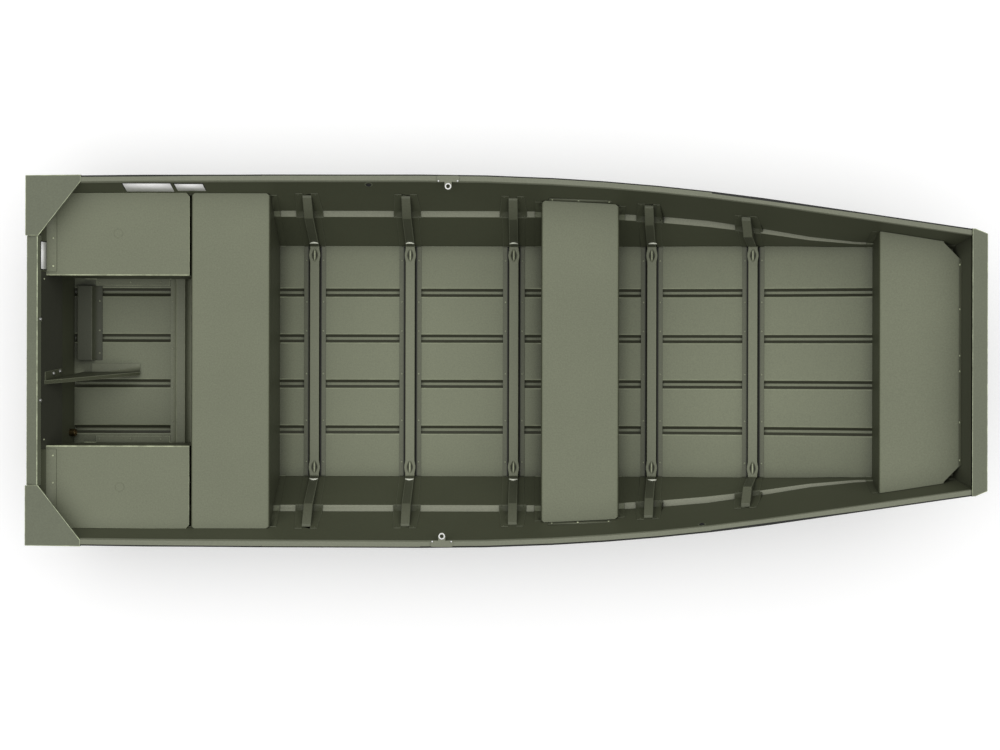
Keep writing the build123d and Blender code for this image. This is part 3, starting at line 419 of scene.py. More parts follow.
class Recipe:
    """The node tree of a material or of the world while it is being made."""

    def __init__(self, name, kind="materials"):
        self.owner = getattr(bpy.data, kind).new(name)
        self.owner.use_nodes = True
        self.tree = self.owner.node_tree
        self.tree.nodes.clear()

    def add(self, kind, inputs=(), **settings):
        """A node with its settings and inputs; an input is a value or another node's output."""
        node = self.tree.nodes.new("ShaderNode" + kind)
        for key, value in settings.items():
            setattr(node, key, value)
        for key, value in dict(inputs).items():
            if isinstance(value, bpy.types.NodeSocket):
                self.tree.links.new(value, node.inputs[key])
            else:
                node.inputs[key].default_value = value
        return node

    def noise(self, vector, scale, detail, roughness):
        """Noise at a scale."""
        inputs = {"Vector": vector, "Scale": scale, "Detail": detail, "Roughness": roughness}
        return self.add("TexNoise", inputs).outputs["Fac"]

    def spread(self, value, given, wanted):
        """A value of the given range stretched to the wanted range."""
        inputs = {"Value": value, "From Min": given[0], "From Max": given[1]}
        return self.add("MapRange", {**inputs, "To Min": wanted[0], "To Max": wanted[1]}).outputs[0]

    def mix(self, factor, first, second, blend="MIX"):
        """Two colours mixed."""
        inputs = {"Factor": factor, "A": first, "B": second}
        return self.add("Mix", inputs, data_type="RGBA", blend_type=blend).outputs[2]

    def bump(self, height, strength, distance):
        """Normal over a fine relief."""
        inputs = {"Height": height, "Strength": strength, "Distance": distance}
        return self.add("Bump", inputs).outputs["Normal"]

    def skin(self, colour, roughness, normal, more=()):
        """The whole material, from its colour, roughness and normal and more inputs by name."""
        inputs = {"Base Color": colour, "Roughness": roughness, "Normal": normal, **dict(more)}
        return self.finish(self.add("BsdfPrincipled", inputs).outputs["BSDF"])

    def finish(self, shader, output="OutputMaterial"):
        """Joins the surface to the output."""
        self.add(output, {"Surface": shader})
        return self.owner


WHITE = (1.0, 1.0, 1.0, 1.0)


def tinted(colour, factor):
    """A linear colour made lighter or darker."""
    return (colour[0] * factor, colour[1] * factor, colour[2] * factor, 1.0)


def painted_sheet(name, colour, roughness, wear_and_highlight, corner, shaded):
    """Olive paint sprayed on sheet: cloudy tone, fine mottle, spray texture and painted shade in its corners.

    With its edge lightening over 0 it is the paint of the rounded edges, lighter in patches: partly wear,
    partly a painted highlight on the folds. Corner is how far the painted shade of the corners reaches, how
    much of the colour is left in them, and the openness where that starts and ends. A shaded paint follows
    the painted light and shade of the piece's points.
    """
    make = Recipe(name)
    place = make.add("TexCoord").outputs["Object"]
    cloud = make.noise(place, 3.1, 4.0, 0.55)
    mottle = make.noise(place, 170.0, 3.0, 0.7)
    tone = make.mix(cloud, tinted(colour, 0.93), tinted(colour, 1.08))
    final = make.mix(1.0, tone, make.spread(mottle, (0.32, 0.7), (0.90, 1.10)), "MULTIPLY")
    # Painted shade: darker where other surfaces are near, in corners and creases
    painted_corner_shade = make.add("AmbientOcclusion", {"Distance": corner[0]}, samples=6).outputs["AO"]
    final = make.mix(1.0, final, make.spread(painted_corner_shade, corner[2:], (corner[1], 1.0)), "MULTIPLY")
    if shaded:
        own = make.add("Attribute", attribute_name="shade").outputs["Fac"]
        final = make.mix(1.0, final, own, "MULTIPLY")
    # The rounded edges are lightened in patches: partly wear, partly a painted highlight on the folds
    if wear_and_highlight:
        wear_and_highlight_patches = make.spread(make.noise(place, 26.0, 5.0, 0.65), (0.38, 0.62), (0.35, 1.0))
        final = make.mix(wear_and_highlight_patches, final, tinted(colour, 1 + wear_and_highlight))
    rough = make.spread(mottle, (0.3, 0.7), (roughness - 0.05, roughness + 0.06))
    spray = make.bump(make.noise(place, 620.0, 2.0, 0.5), 0.18, 0.0004)
    return make.skin(final, rough, spray, {"Specular IOR Level": 0.28})


def bright_metal(name, colour, roughness, scale):
    """Plated metal with a fine crystalline tone and a few dull spots."""
    make = Recipe(name)
    grain = make.noise(make.add("TexCoord").outputs["Object"], scale, 4.0, 0.6)
    tone = make.mix(grain, tinted(colour, 0.72), tinted(colour, 1.15))
    rough = make.spread(grain, (0.3, 0.7), (roughness - 0.08, roughness + 0.12))
    return make.skin(tone, rough, make.bump(grain, 0.25, 0.0002), {"Metallic": 1.0})


def dull_skin(name, colour, roughness, scale, strength):
    """Rubber, plates, the rib lips' painted highlight, and dark edges: one colour with a fine uneven surface.
    """
    make = Recipe(name)
    grain = make.noise(make.add("TexCoord").outputs["Object"], scale, 3.0, 0.6)
    tone = make.mix(grain, tinted(colour, 0.9), tinted(colour, 1.1))
    return make.skin(tone, roughness, make.bump(grain, strength, 0.0003))


def painted_board(name, colour):
    """Plywood painted over: the veneer's long grain shows through the paint along Y."""
    make = Recipe(name)
    place = make.add("TexCoord").outputs["Object"]
    stretch = make.add("Mapping", {"Vector": place, "Scale": (60.0, 5.0, 60.0)}).outputs["Vector"]
    grain = make.noise(stretch, 2.2, 6.0, 0.7)
    tone = make.mix(grain, tinted(colour, 0.82), tinted(colour, 1.15))
    return make.skin(tone, 0.62, make.bump(grain, 0.35, 0.0006))


def pale_floor(name, colour, lift):
    """Matt floor that takes shadows. Seen by the camera or in a reflection it is lifted towards white."""
    make = Recipe(name)
    path = make.add("LightPath").outputs
    seen = path["Is Camera Ray"]
    for ray in ("Is Glossy Ray", "Is Transmission Ray"):
        seen = make.add("Math", {0: seen, 1: path[ray]}, operation="MAXIMUM").outputs[0]
    matt = make.add("BsdfDiffuse", {"Color": (*colour, 1.0)}).outputs[0]
    glow = make.add("Emission", {"Color": WHITE, "Strength": lift}).outputs[0]
    both = make.add("AddShader", {0: matt, 1: glow}).outputs[0]
    return make.finish(make.add("MixShader", {"Fac": seen, 1: matt, 2: both}).outputs[0])


# Painted shade in the corners of most paints: reach, colour left, and the openness where it starts and ends
CORNER = (0.02, 0.45, 0.15, 0.8)
# Colour setting of each paint, its roughness, its edges' lightening, and its corners' painted shade.
# The edges' lightening is partly wear, partly a painted highlight on the folds.
PAINTS = {
    "side": ("side_paint_with_painted_shade", 0.5, 0.6, CORNER),
    "ledge": ("ledge_paint_with_painted_light", 0.46, 0.3, (0.03, 0.25, 0.6, 0.98)),
    "leg": ("leg_paint_with_painted_shade", 0.46, 0.5, CORNER),
    "leg_top": ("leg_top_paint_with_painted_shade", 0.46, 0.5, CORNER),
    "cap": ("cap_paint", 0.42, 3.2, CORNER),
    "floor": ("floor_paint", 0.46, 0.3, (0.06, 0.30, 0.3, 0.95)),
    "groove": ("strake_slope_painted_shade", 0.5, 0.3, CORNER),
    "seat": ("seat_paint", 0.46, 2.8, CORNER),
    "rib": ("rib_paint", 0.44, 0.5, CORNER),
    "hat": ("rib_paint", 0.44, 0.5, (0.02, 0.6, 0.15, 0.8)),
    "gunwale": ("gunwale_paint", 0.42, 0.6, CORNER),
}
# How much smoother the lightened edges are
EDGE_POLISH = 0.08
# How each other finish is made, its colour setting, and what else its function takes
FINISHES = {
    "zinc": (bright_metal, "zinc", 0.34, 220.0),
    "brass": (bright_metal, "brass", 0.4, 150.0),
    "rubber": (dull_skin, "rubber", 0.6, 300.0, 0.3),
    "plate_white": (dull_skin, "plate", 0.35, 90.0, 0.05),
    "bare_lip": (dull_skin, "bare_lip", 0.4, 120.0, 0.2),
    "rim_shadow": (dull_skin, "rim_shadow", 0.7, 200.0, 0.2),
    "painted_plywood": (painted_board, "board_paint"),
}


def paint(key):
    """The paint pair of a group of pieces, face and rounded edge, made once."""
    names = (key + "_satin", key + "_satin_edge")
    if names[0] not in bpy.data.materials:
        setting, rough, wear_and_highlight, corner = PAINTS[key]
        colour = getattr(bpy.context.scene.boat_colours, setting)
        painted_sheet(names[0], colour, rough, 0.0, corner, key == "hat")
        painted_sheet(names[1], colour, rough - EDGE_POLISH, wear_and_highlight, corner, False)
    return [bpy.data.materials[name] for name in names]


def finish_of(key):
    """One of the other finishes, made once."""
    if key not in bpy.data.materials:
        maker, setting, *rest = FINISHES[key]
        maker(key, getattr(bpy.context.scene.boat_colours, setting), *rest)
    return bpy.data.materials[key]


# Settings


def length(name, description, default):
    """A length that can be set."""
    return FloatProperty(name=name, description=description, default=default, unit="LENGTH", precision=4)


def angle(name, description, default):
    """An angle that can be set."""
    return FloatProperty(name=name, description=description, default=default, subtype="ANGLE")


def tint(name, description, default):
    """A linear colour that can be set."""
    return FloatVectorProperty(name=name, description=description, default=default, subtype="COLOR")


class BoatSizes(bpy.types.PropertyGroup):
    """Sizes of the small forms."""

    cut_radius: length("Cut edge", "Rounding of a sheet's cut edges", 0.0007)
    fold_radius: length("Fold", "Outside rounding of a fold", 0.0026)
    rivet_radius: length("Rivet radius", "Radius of a rivet's head", 0.0046)
    rivet_height: length("Rivet height", "Height of a rivet's head", 0.0022)
    fill_mark_radius: length("Fill mark", "Radius of the round marks on the stern boxes", 0.017)
    rivet_segments: IntProperty(name="Rivet sides", description="Facets round a rivet", default=12, min=6)


class BoatColours(bpy.types.PropertyGroup):
    """Base colours of the finishes, linear."""

    # The sides' paint is far darker than the floor's: the same olive paint with painted shade on upright
    # sheets
    side_paint_with_painted_shade: tint("Sides", "Paint of the side sheets", (0.070, 0.076, 0.046))
    floor_paint: tint("Floor", "Paint of the bottom sheet", (0.186, 0.201, 0.133))
    seat_paint: tint("Seats", "Paint of benches, boxes and deck", (0.168, 0.181, 0.120))
    rib_paint: tint("Ribs", "Paint of ribs and knee", (0.180, 0.192, 0.130))
    gunwale_paint: tint("Gunwales", "Paint of the gunwales", (0.188, 0.198, 0.142))
    cap_paint: tint("Caps", "Paint of the corner plates and caps", (0.143, 0.156, 0.106))
    # The crease's paint is far lighter than the sides': painted light on its nearly flat faces
    ledge_paint_with_painted_light: tint("Side crease", "Paint of the crease along the sides", (0.26, 0.27, 0.20))
    # The legs' paints are darker copies of the ribs' paint: painted shade, less dark on the upper fronts
    leg_paint_with_painted_shade: tint("Rib legs", "Paint of the legs up the sides", (0.062, 0.067, 0.043))
    leg_top_paint_with_painted_shade: tint("Leg fronts", "Paint of the legs' upper fronts", (0.118, 0.126, 0.085))
    # The strakes' slopes are darker copies of the floor's paint: painted shade
    strake_slope_painted_shade: tint("Strakes", "Soiled slopes of the bottom's strakes", (0.040, 0.042, 0.026))
    # The rib lips are near white: a painted highlight
    bare_lip: tint("Rib lips", "Rubbed lips at the ends of the floor ribs", (0.74, 0.76, 0.64))
    # Near black: painted shade on the gunwales' outer rounding, and the dark borders of the plates
    rim_shadow: tint("Dark edges", "Sooty edges of gunwales and plates", (0.012, 0.013, 0.010))
    board_paint: tint("Transom board", "Paint on the plywood", (0.042, 0.044, 0.030))
    zinc: tint("Zinc", "Plated fittings", (0.70, 0.70, 0.68))
    brass: tint("Brass", "Drain tube", (0.20, 0.15, 0.07))
    rubber: tint("Rubber", "Grommets", (0.022, 0.022, 0.022))
    plate: tint("Plates", "Blank plates", (0.93, 0.93, 0.91))
    floor: tint("Studio floor", "Floor under the boat", (0.80, 0.80, 0.80))


class StudioSettings(bpy.types.PropertyGroup):
    """Camera and lamps."""

    camera_x: length("Camera X", "Place of the camera along the boat", 0.157)
    camera_height: length("Camera height", "Height of the camera over the floor", 8.6)
    lens: FloatProperty(name="Lens", description="Focal length in millimetres", default=77.8)
    shift_x: FloatProperty(name="Shift X", description="Sideways shift of the view", default=-0.045)
    shift_y: FloatProperty(name="Shift Y", description="Upward shift of the view", default=-0.0135)
    roll: angle("Roll", "Turn of the camera about its axis", 0.0022)
    sun_strength: FloatProperty(name="Overhead lamp", description="Light from straight above", default=2.7)
    sun_angle: angle("Lamp spread", "Apparent width of the overhead lamp", math.radians(115))
    sun_tilt: angle("Lamp tilt", "Lean of the overhead lamp towards port", math.radians(8))
    ambient: FloatProperty(name="Ambient", description="Even light from all round", default=0.16)
    floor_lift: FloatProperty(name="Floor lift", description="Glow that is seen on the floor", default=0.3)


# Pieces


# Node, name of the piece that replaces it, and its paint. The side and leg paints carry painted shade.
SHEETS = (
    ("bottom_panel", "bottom_sheet", "floor"),
    ("side_panel_port", "side_sheet_port", "side"),
    ("side_panel_starboard", "side_sheet_starboard", "side"),
    ("chine_rail_port", "chine_angle_port", "side"),
    ("chine_rail_starboard", "chine_angle_starboard", "side"),
    ("transom_skin", "transom_sheet", "side"),
    ("bow_panel", "bow_sheet", "leg"),
    ("bilge_channel", "bilge_channel_sheet", "leg"),
    ("transom_knee", "transom_knee_sheet", "rib"),
    ("bilge_rib", "bilge_rib_sheet", "rib"),
)
SEATING = (
    "mid_bench", "aft_bench", "bow_deck", "stern_box_port", "stern_box_starboard", "box_angle_port",
    "box_angle_starboard",
)
RIMS = (
    "gunwale_port", "gunwale_starboard", "corner_cap_port", "corner_cap_starboard", "transom_cap", "bow_cap",
)
RIB_NUMBERS = (1, 2, 3, 4, 5)
LIP_NUMBERS = (1, 2, 3, 4)

# Roundings of folds and cut edges that differ from the usual ones
BOX_FOLD = 3.5 * MM
KNEE_FOLD_RADIUS = 1.0 * MM
CAP_CUT = 1.3 * MM
LEG_CUT = 1.0 * MM

# Places below are distances forward of the stern, and Y or Z as their names say

# Stern boxes: middles of their round marks, and width and height of the marks' beads
FILL_MARKS = ((from_stern(0.338), 0.487), (from_stern(0.345), -0.484))
FILL_BEAD = (2.4 * MM, 0.9 * MM)

# Oarlocks and grommets. A collar or eyelet has a radius, width and height; a bolt a radius, height and sides
RING_RADIUS = 13.5 * MM
COLLAR = (10.0 * MM, 5.8 * MM, 1.4 * MM)
EYELET = (13.5 * MM, 4.0 * MM, 1.3 * MM)
EYELET_BESIDE = 25.0 * MM
OARLOCK_BOLT = (4.2 * MM, 3.0 * MM, 14)
BRACKET_BOLTS = ((-36 * MM, 36 * MM), 20 * MM)

# Ribs: half width, arch and thickness of a lip, and rivets along the rib and across it
LIP = (17 * MM, 8 * MM, 4.5 * MM)
LEG_LIP_Y = 0.465
RIB_RIVET_ROWS = (-33 * MM, 33 * MM)
RIB_RIVETS = (0.40, 0.235, 0.12, -0.05, -0.235, -0.40)
LEG_TOP = 0.330
LEG_CREASE = 0.209
LEG_RIVETS = ((-33 * MM, 33 * MM), 7 * MM)
LOW_LEG_RIVETS = (-44 * MM, 44 * MM)
LEG_FLANGE_FROM = 23 * MM
LEG_FRONT = 12 * MM
LEG_KNEE_HEIGHT = 0.252

# Width of the small rivets as a share of the large ones
SMALL_RIVET = 0.8

# Chine rails: half width of their row, where it curves in and its radius; start, end and step of the rows
CHINE_RIVETS = 0.444
CHINE_CURVE = (2.6, 20.5)
CHINE_ROW = (0.16, 3.40, 0.055)
CHINE_RIVET_HEIGHT = 0.019
SIDE_ROW = (0.16, 2.0, 0.055)

# Seams of benches and deck on the sides: distance from the stern, lowest and highest rivet
BENCH_SEAMS = (
    (0.6045, 0.09, 0.30),
    (0.9315, 0.09, 0.30),
    (1.9445, 0.09, 0.27),
    (2.2685, 0.10, 0.27),
    (3.2305, 0.26, 0.35),
)
# Step of the rows along the seams and the transom's edges
SEAM_STEP = 0.04

# Rows up the sides beside the transom: lowest, highest and step, distance from the stern at the top, lean
CORNER_ROW = (0.05, 0.36, 0.035)
CORNER_ROW_AT = 0.031
CORNER_ROW_LEAN = 0.25

# Transom's edge rivets under and over the crease: lowest, highest, half width at the lowest, and its slope
TRANSOM_EDGE = ((0.06, 0.18, 0.463, 0.525), (0.24, 0.32, 0.572, 0.5))
# Row along the transom's foot: height, half width and step
TRANSOM_FOOT = (0.035, 0.42, 0.06)
BOARD_SCREW_HEIGHT = 0.345
BOARD_SCREWS = (0.482, 0.311, -0.302, -0.474)
CAP_BOLT_HEIGHT = 0.378
CAP_BOLTS = (0.157, -0.152)
KNEE_BOLTS = ((-0.050, 0.272), (-0.0415, 0.220))
TRANSOM_BOLT = (6 * MM, 5 * MM, 8.5 * MM)

# Stern well
WELL_RIVETS = (0.2024, 0.3255, 0.446)
BOX_FLANGE_Y = 0.312
CHANNEL_FLANGE_AT = 0.203
CHANNEL_RIVETS = (0.237, 0.12, 0.03)
BILGE_RIB_FLANGE_AT = 0.494
BILGE_RIVETS = (0.235, 0.049, -0.107, -0.24)
KNEE_FOOT_RIVET = (0.2815, -0.036)
WELL_NODES = ("stern_box_port", "stern_box_starboard", "bilge_channel", "bilge_rib", "transom_knee")

# Seats. A bench's end strip has a place, height, half length and half height
ANGLE_RIVETS_AT = 0.090
ANGLE_RIVETS = (0.468, 0.361, -0.364, -0.468)
DECK_LIP_HEIGHT = 0.3835
DECK_LIP_RIVETS = (0.372, 0.2025, 0.0255, -0.034, -0.228, -0.372)
BENCH_END = (2.1065, 0.317, 0.1235, 0.010)
BENCH_END_RIVETS = (-0.1075, -0.0075, 0.1105)
STRIP_THICK = 2.2 * MM
STRIP_SLANT = 6 * MM

# Name, node that carries it, origin and direction of the ray to it, half width and height, lean of its ends
PLATES = (
    ("side_plate_long", "side_panel_port", (from_stern(0.459), 0, 0.3605), TO_PORT, (0.0945, 0.0325), -0.15),
    ("side_plate_short", "side_panel_port", (from_stern(0.618), 0, 0.3615), TO_PORT, (0.0575, 0.0285), -0.15),
    ("board_plate", "box_angle_port", (0, 0.400, 0.3555), AFT, (0.0555, 0.026), 0.0),
)
# Layer of a plate, its thickness, its finish, and how far it stays inside the plate's outline
PLATE_LAYERS = (
    ("edge", 0.7 * MM, "rim_shadow", (0.0, 0.0)),
    ("face", 1.0 * MM, "plate_white", (4.0 * MM, 5.0 * MM)),
)


def ledge_zone(centre, normal):
    """The side sheets' crease lies nearly flat and takes the third material, a lighter paint as painted
    light.
    """
    return 2 if normal.z > 0.7 else 0


def strake_zone(centre, normal):
    """The slopes of the bottom's strakes take the third material, a darker paint as painted shade."""
    return 2 if abs(normal.y) > 0.3 and normal.z > 0.3 else 0


def knee_zone(centre, normal):
    """The knee's upright web takes the third material, the sides' darker paint as painted shade."""
    return 2 if normal.z < 0.7 else 0


def box_zone(centre, normal):
    """The bends of the stern boxes take the lighter edge paint, worn and with a painted highlight, and what
    lies along the sides takes the sides' darker paint as painted shade.
    """
    if normal.z > 0.97:
        return 0
    return 1 if normal.z > 0.3 else 2


def bench_zone(centre, normal):
    """The risers, bends and side flanges of benches and deck take the sides' darker paint as painted shade.
    """
    return 2 if normal.z < 0.75 else 0


def rim_zone(centre, normal):
    """The outer rounding of a gunwale takes the third material, a near black as painted shade."""
    outward = normal.y * math.copysign(1, centre.y)
    return 2 if 0.3 < outward < 0.97 and normal.z > 0.2 else 0


def leg_zone(number):
    """Flanges of a leg take the second material, and the front above its knee takes the third. All are
    darker copies of the ribs' paint as painted shade, least dark on the front above the knee.
    """
    base, along, _, _ = rib_frame(f"floor_rib_{number}")

    def zone(centre, normal):
        fore = np.dot(np.array(centre) - base, along)
        if abs(fore) > LEG_FLANGE_FROM:
            return 1
        return 2 if centre.z > LEG_KNEE_HEIGHT and abs(fore) < LEG_FRONT else 0

    return zone


# A zone's faces take a third paint: painted light on the crease, painted shade on strake slopes and knee web
SHEET_ZONES = {
    "side_panel_port": ("ledge", ledge_zone),
    "side_panel_starboard": ("ledge", ledge_zone),
    "bottom_panel": ("groove", strake_zone),
    "transom_knee": ("side", knee_zone),
}


class BOAT_OT_hull(bpy.types.Operator):
    """Makes the hull sheets, the chine rails, the bilge pieces and the transom board"""

    bl_idname = "boat.hull"
    bl_label = "Hull sheets"

    def execute(self, context):
        sizes = context.scene.boat_sizes
        for node, name, key in SHEETS:
            more, zone = SHEET_ZONES.get(node, (None, None))
            materials = paint(key) + (paint(more)[:1] if more else [])
            fold = KNEE_FOLD_RADIUS if node == "transom_knee" else None
            softened(name, node, materials, sizes, fold, zone, -1 if more == "ledge" else 1)
        softened("transom_plywood", "transom_board", [finish_of("painted_plywood")], sizes)
        return {"FINISHED"}


class BOAT_OT_ribs(bpy.types.Operator):
    """Makes the floor ribs with their pressed pans, and the legs that run up the sides"""

    bl_idname = "boat.ribs"
    bl_label = "Ribs"

    def execute(self, context):
        sizes = context.scene.boat_sizes
        for node in sorted(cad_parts):
            if node.startswith("side_rib"):
                # The legs take darker copies of the ribs' paint: painted shade
                materials = [paint(key)[0] for key in ("leg", "side", "leg_top")]
                zone = leg_zone(int(node[-1]))
                softened(node + "_sheet", node, materials, sizes, None, zone, 2, LEG_CUT)
            elif node.startswith("floor_rib"):
                # The rib's points carry painted shade and highlight in its paint
                hat = piece(node + "_hat", hat_surface(node), paint("hat")[:1], (node,))
                wall = hat.modifiers.new("sheet", "SOLIDIFY")
                wall.thickness = HAT_THICK
                wall.offset = -1
                keep_flat(hat)
        lips = []
        for number in LIP_NUMBERS:
            base, along, _, _ = rib_frame(f"floor_rib_{number}")
            for side, way in SIDES:
                place = (base[0], way * LEG_LIP_Y, ABOVE)
                lips.append(seats([f"side_rib_{side}_{number}"], [place], DOWN, along * way))
        # The lips carry a near white painted highlight
        shape = repeated(crescent(*LIP), np.concatenate(lips))
        piece("rib_end_lips", shape, [finish_of("bare_lip")])
        return {"FINISHED"}


class BOAT_OT_seating(bpy.types.Operator):
    """Makes the benches, the stern boxes with their angles, and the bow deck"""

    bl_idname = "boat.seating"
    bl_label = "Benches and boxes"

    def execute(self, context):
        sizes = context.scene.boat_sizes
        for node in SEATING:
            # Upright faces take the sides' darker paint as painted shade; on the boxes the bends take the
            # lighter edge paint
            materials = paint("seat") + paint("side")[:1]
            zone = box_zone if node.startswith("stern_box") else bench_zone
            rounded = 1 if zone is box_zone else 2
            softened(node + "_sheet", node, materials, sizes, BOX_FOLD, zone, rounded)
        places = [(*place, ABOVE) for place in FILL_MARKS]
        marks = seats(["stern_box_port", "stern_box_starboard"], places, DOWN)
        bead = ring_bead(sizes.fill_mark_radius, *FILL_BEAD)
        piece("fill_marks", repeated(bead, marks), paint("seat")[:1])
        return {"FINISHED"}


class BOAT_OT_rims(bpy.types.Operator):
    """Makes the gunwales, the corner plates and the caps of transom and bow"""

    bl_idname = "boat.rims"
    bl_label = "Gunwales and caps"

    def execute(self, context):
        sizes = context.scene.boat_sizes
        for node in RIMS:
            if node.startswith("gunwale"):
                # The gunwales' outer rounding takes a near black: painted shade
                materials, zone, rounded = paint("gunwale") + [finish_of("rim_shadow")], rim_zone, -1
            else:
                materials, zone, rounded = paint("cap"), None, 1
            softened(node + "_sheet", node, materials, sizes, None, zone, rounded, CAP_CUT)
        return {"FINISHED"}


class BOAT_OT_fittings(bpy.types.Operator):
    """Makes the oarlock sockets, grommets, drain tube and bow eye"""

    bl_idname = "boat.fittings"
    bl_label = "Fittings"

    def execute(self, context):
        sizes = context.scene.boat_sizes
        zinc = [finish_of("zinc")]
        for side, way in SIDES:
            node = "oarlock_socket_" + side
            x, y, z = ring_centre(side)
            softened("oarlock_plate_" + side, node, paint("gunwale"), sizes)
            collar = repeated(ring_bead(*COLLAR), [((x, y, z), FORWARD, TO_PORT, UP)])
            piece("oarlock_collar_" + side, collar, zinc)
            softened("grommet_ring_" + side, "grommet_" + side, [finish_of("rubber")], sizes)
            eye = middle("grommet_" + side)
            beside = (eye[0] + EYELET_BESIDE, 0.0, eye[2])
            eyelet = seats(["side_panel_" + side], [beside], (0.0, way, 0.0))
            eyelet[0, 0] -= EYELET_BESIDE * eyelet[0, 1]
            eyelet = repeated(ring_bead(*EYELET), eyelet)
            piece("grommet_eyelet_" + side, eyelet, paint("cap")[:1])
            places = [(x + away, y + way * BRACKET_BOLTS[1], ABOVE) for away in BRACKET_BOLTS[0]]
            heads = seats([node, "gunwale_" + side], places, DOWN)
            piece("oarlock_bolts_" + side, repeated(round_head(*OARLOCK_BOLT), heads), zinc)
        softened("drain_sleeve", "drain_tube", [finish_of("brass")], sizes)
        softened("bow_eye_casting", "bow_eye", zinc, sizes)
        return {"FINISHED"}


def ring_centre(side):
    """Middle of an oarlock's ring: the widest part of the socket away from its plate."""
    low, high = box_of("oarlock_socket_" + side)
    inner = low[1] + RING_RADIUS if side == "port" else high[1] - RING_RADIUS
    return (low[0] + high[0]) / 2, inner, high[2]


def row(start, end, step):
    """Even places from start to end, about one step apart."""
    return np.linspace(start, end, max(2, round(abs(end - start) / step) + 1))


def rivets(name, frames, key, share=1.0):
    """A piece of rivets in a group's edge paint, lighter by wear and a painted highlight, at one or more
    arrays of frames. Share narrows them.
    """
    sizes = bpy.context.scene.boat_sizes
    head = round_head(sizes.rivet_radius * share, sizes.rivet_height, sizes.rivet_segments)
    piece(name, repeated(head, np.concatenate(frames)), paint(key)[1:])


def flange_spots(number):
    """X and Y of the rivets through both flanges of a floor rib."""
    base, along, _, _ = rib_frame(f"floor_rib_{number}")
    return [(base[0] + fore * along[0], y) for fore in RIB_RIVET_ROWS for y in RIB_RIVETS]


def leg_spots(number):
    """Places on the boat's middle plane, level with the rivets of a rib's legs."""
    base, along, _, normal = rib_frame(f"floor_rib_{number}")
    top = LEG_TOP - base[2] - LEG_RIVETS[1]
    spots = [base + fore * along + top * normal for fore in LEG_RIVETS[0]]
    return spots + [base + fore * along + (LEG_CREASE - base[2]) * normal for fore in LOW_LEG_RIVETS]


def rib_rivets():
    """Rivets through the flanges of the floor ribs and of their legs."""
    ribs, legs = [], []
    for number in RIB_NUMBERS:
        spots = [(*spot, ABOVE) for spot in flange_spots(number)]
        ribs.append(seats([f"floor_rib_{number}"], spots, DOWN))
        for side, way in SIDES:
            legs.append(seats([f"side_rib_{side}_{number}"], leg_spots(number), (0.0, way, 0.0)))
    rivets("rib_rivets", ribs, "rib", SMALL_RIVET)
    rivets("leg_rivets", legs, "leg", SMALL_RIVET)


def bottom_rivets():
    """Rivets under the boat: those of the floor ribs, and a row along the curve of each chine rail.

    The row is at Y = CHINE_RIVETS - (x - start)^2 / (2 radius) forward of the start of the curve.
    """
    spots = [(*spot, BELOW) for number in RIB_NUMBERS for spot in flange_spots(number)]
    heads = [seats(["bottom_panel"], spots, UP)]
    start, radius = CHINE_CURVE
    places = row(*CHINE_ROW)
    reach = CHINE_RIVETS - np.maximum(places - start, 0) ** 2 / (2 * radius)
    spots = [(from_stern(x), way * y, BELOW) for _, way in SIDES for x, y in zip(places, reach)]
    heads.append(seats(["chine_rail_port", "chine_rail_starboard", "bottom_panel"], spots, UP))
    rivets("bottom_rivets", heads, "floor")


def side_rivets():
    """Rivets outside on the sides: of the legs and seams, along the chine rail and beside the transom."""
    heads = []
    for side, way in SIDES:
        inward = (0.0, -way, 0.0)
        legs = [(x, way * BESIDE, z) for number in RIB_NUMBERS for x, _, z in leg_spots(number)]
        heads.append(seats(["side_panel_" + side], legs, inward))
        places = [(x, z) for x, low, high in BENCH_SEAMS for z in row(low, high, SEAM_STEP)]
        places += [(x, CHINE_RIVET_HEIGHT) for x in row(*SIDE_ROW)]
        top = CORNER_ROW[1]
        places += [(CORNER_ROW_AT + (top - z) * CORNER_ROW_LEAN, z) for z in row(*CORNER_ROW)]
        spots = [(from_stern(x), way * BESIDE, z) for x, z in places]
        heads.append(seats(["side_panel_" + side, "chine_rail_" + side], spots, inward))
    rivets("side_rivets", heads, "side")


def transom_rivets():
    """Rivets up both edges of the transom sheet and along its foot, on its outside."""
    spots = []
    for low, high, reach, slope in TRANSOM_EDGE:
        places = [(reach + slope * (z - low), z) for z in row(low, high, SEAM_STEP)]
        spots += [(BEHIND, way * y, z) for y, z in places for _, way in SIDES]
    height, reach, step = TRANSOM_FOOT
    spots += [(BEHIND, y, height) for y in row(-reach, reach, step)]
    rivets("transom_rivets", [seats(["transom_skin"], spots, FORWARD, TO_PORT)], "side")


def well_rivets():
    """Rivets in the stern well: those of the boxes, the bilge channel, the short rib and the knee's foot."""
    places = [(x, way * BOX_FLANGE_Y) for x in WELL_RIVETS for _, way in SIDES]
    places += [(CHANNEL_FLANGE_AT, y) for y in CHANNEL_RIVETS]
    places += [(BILGE_RIB_FLANGE_AT, y) for y in BILGE_RIVETS]
    places.append(KNEE_FOOT_RIVET)
    heads = [seats(WELL_NODES, [(from_stern(x), y, ABOVE) for x, y in places], DOWN)]
    rivets("well_rivets", heads, "rib", SMALL_RIVET)


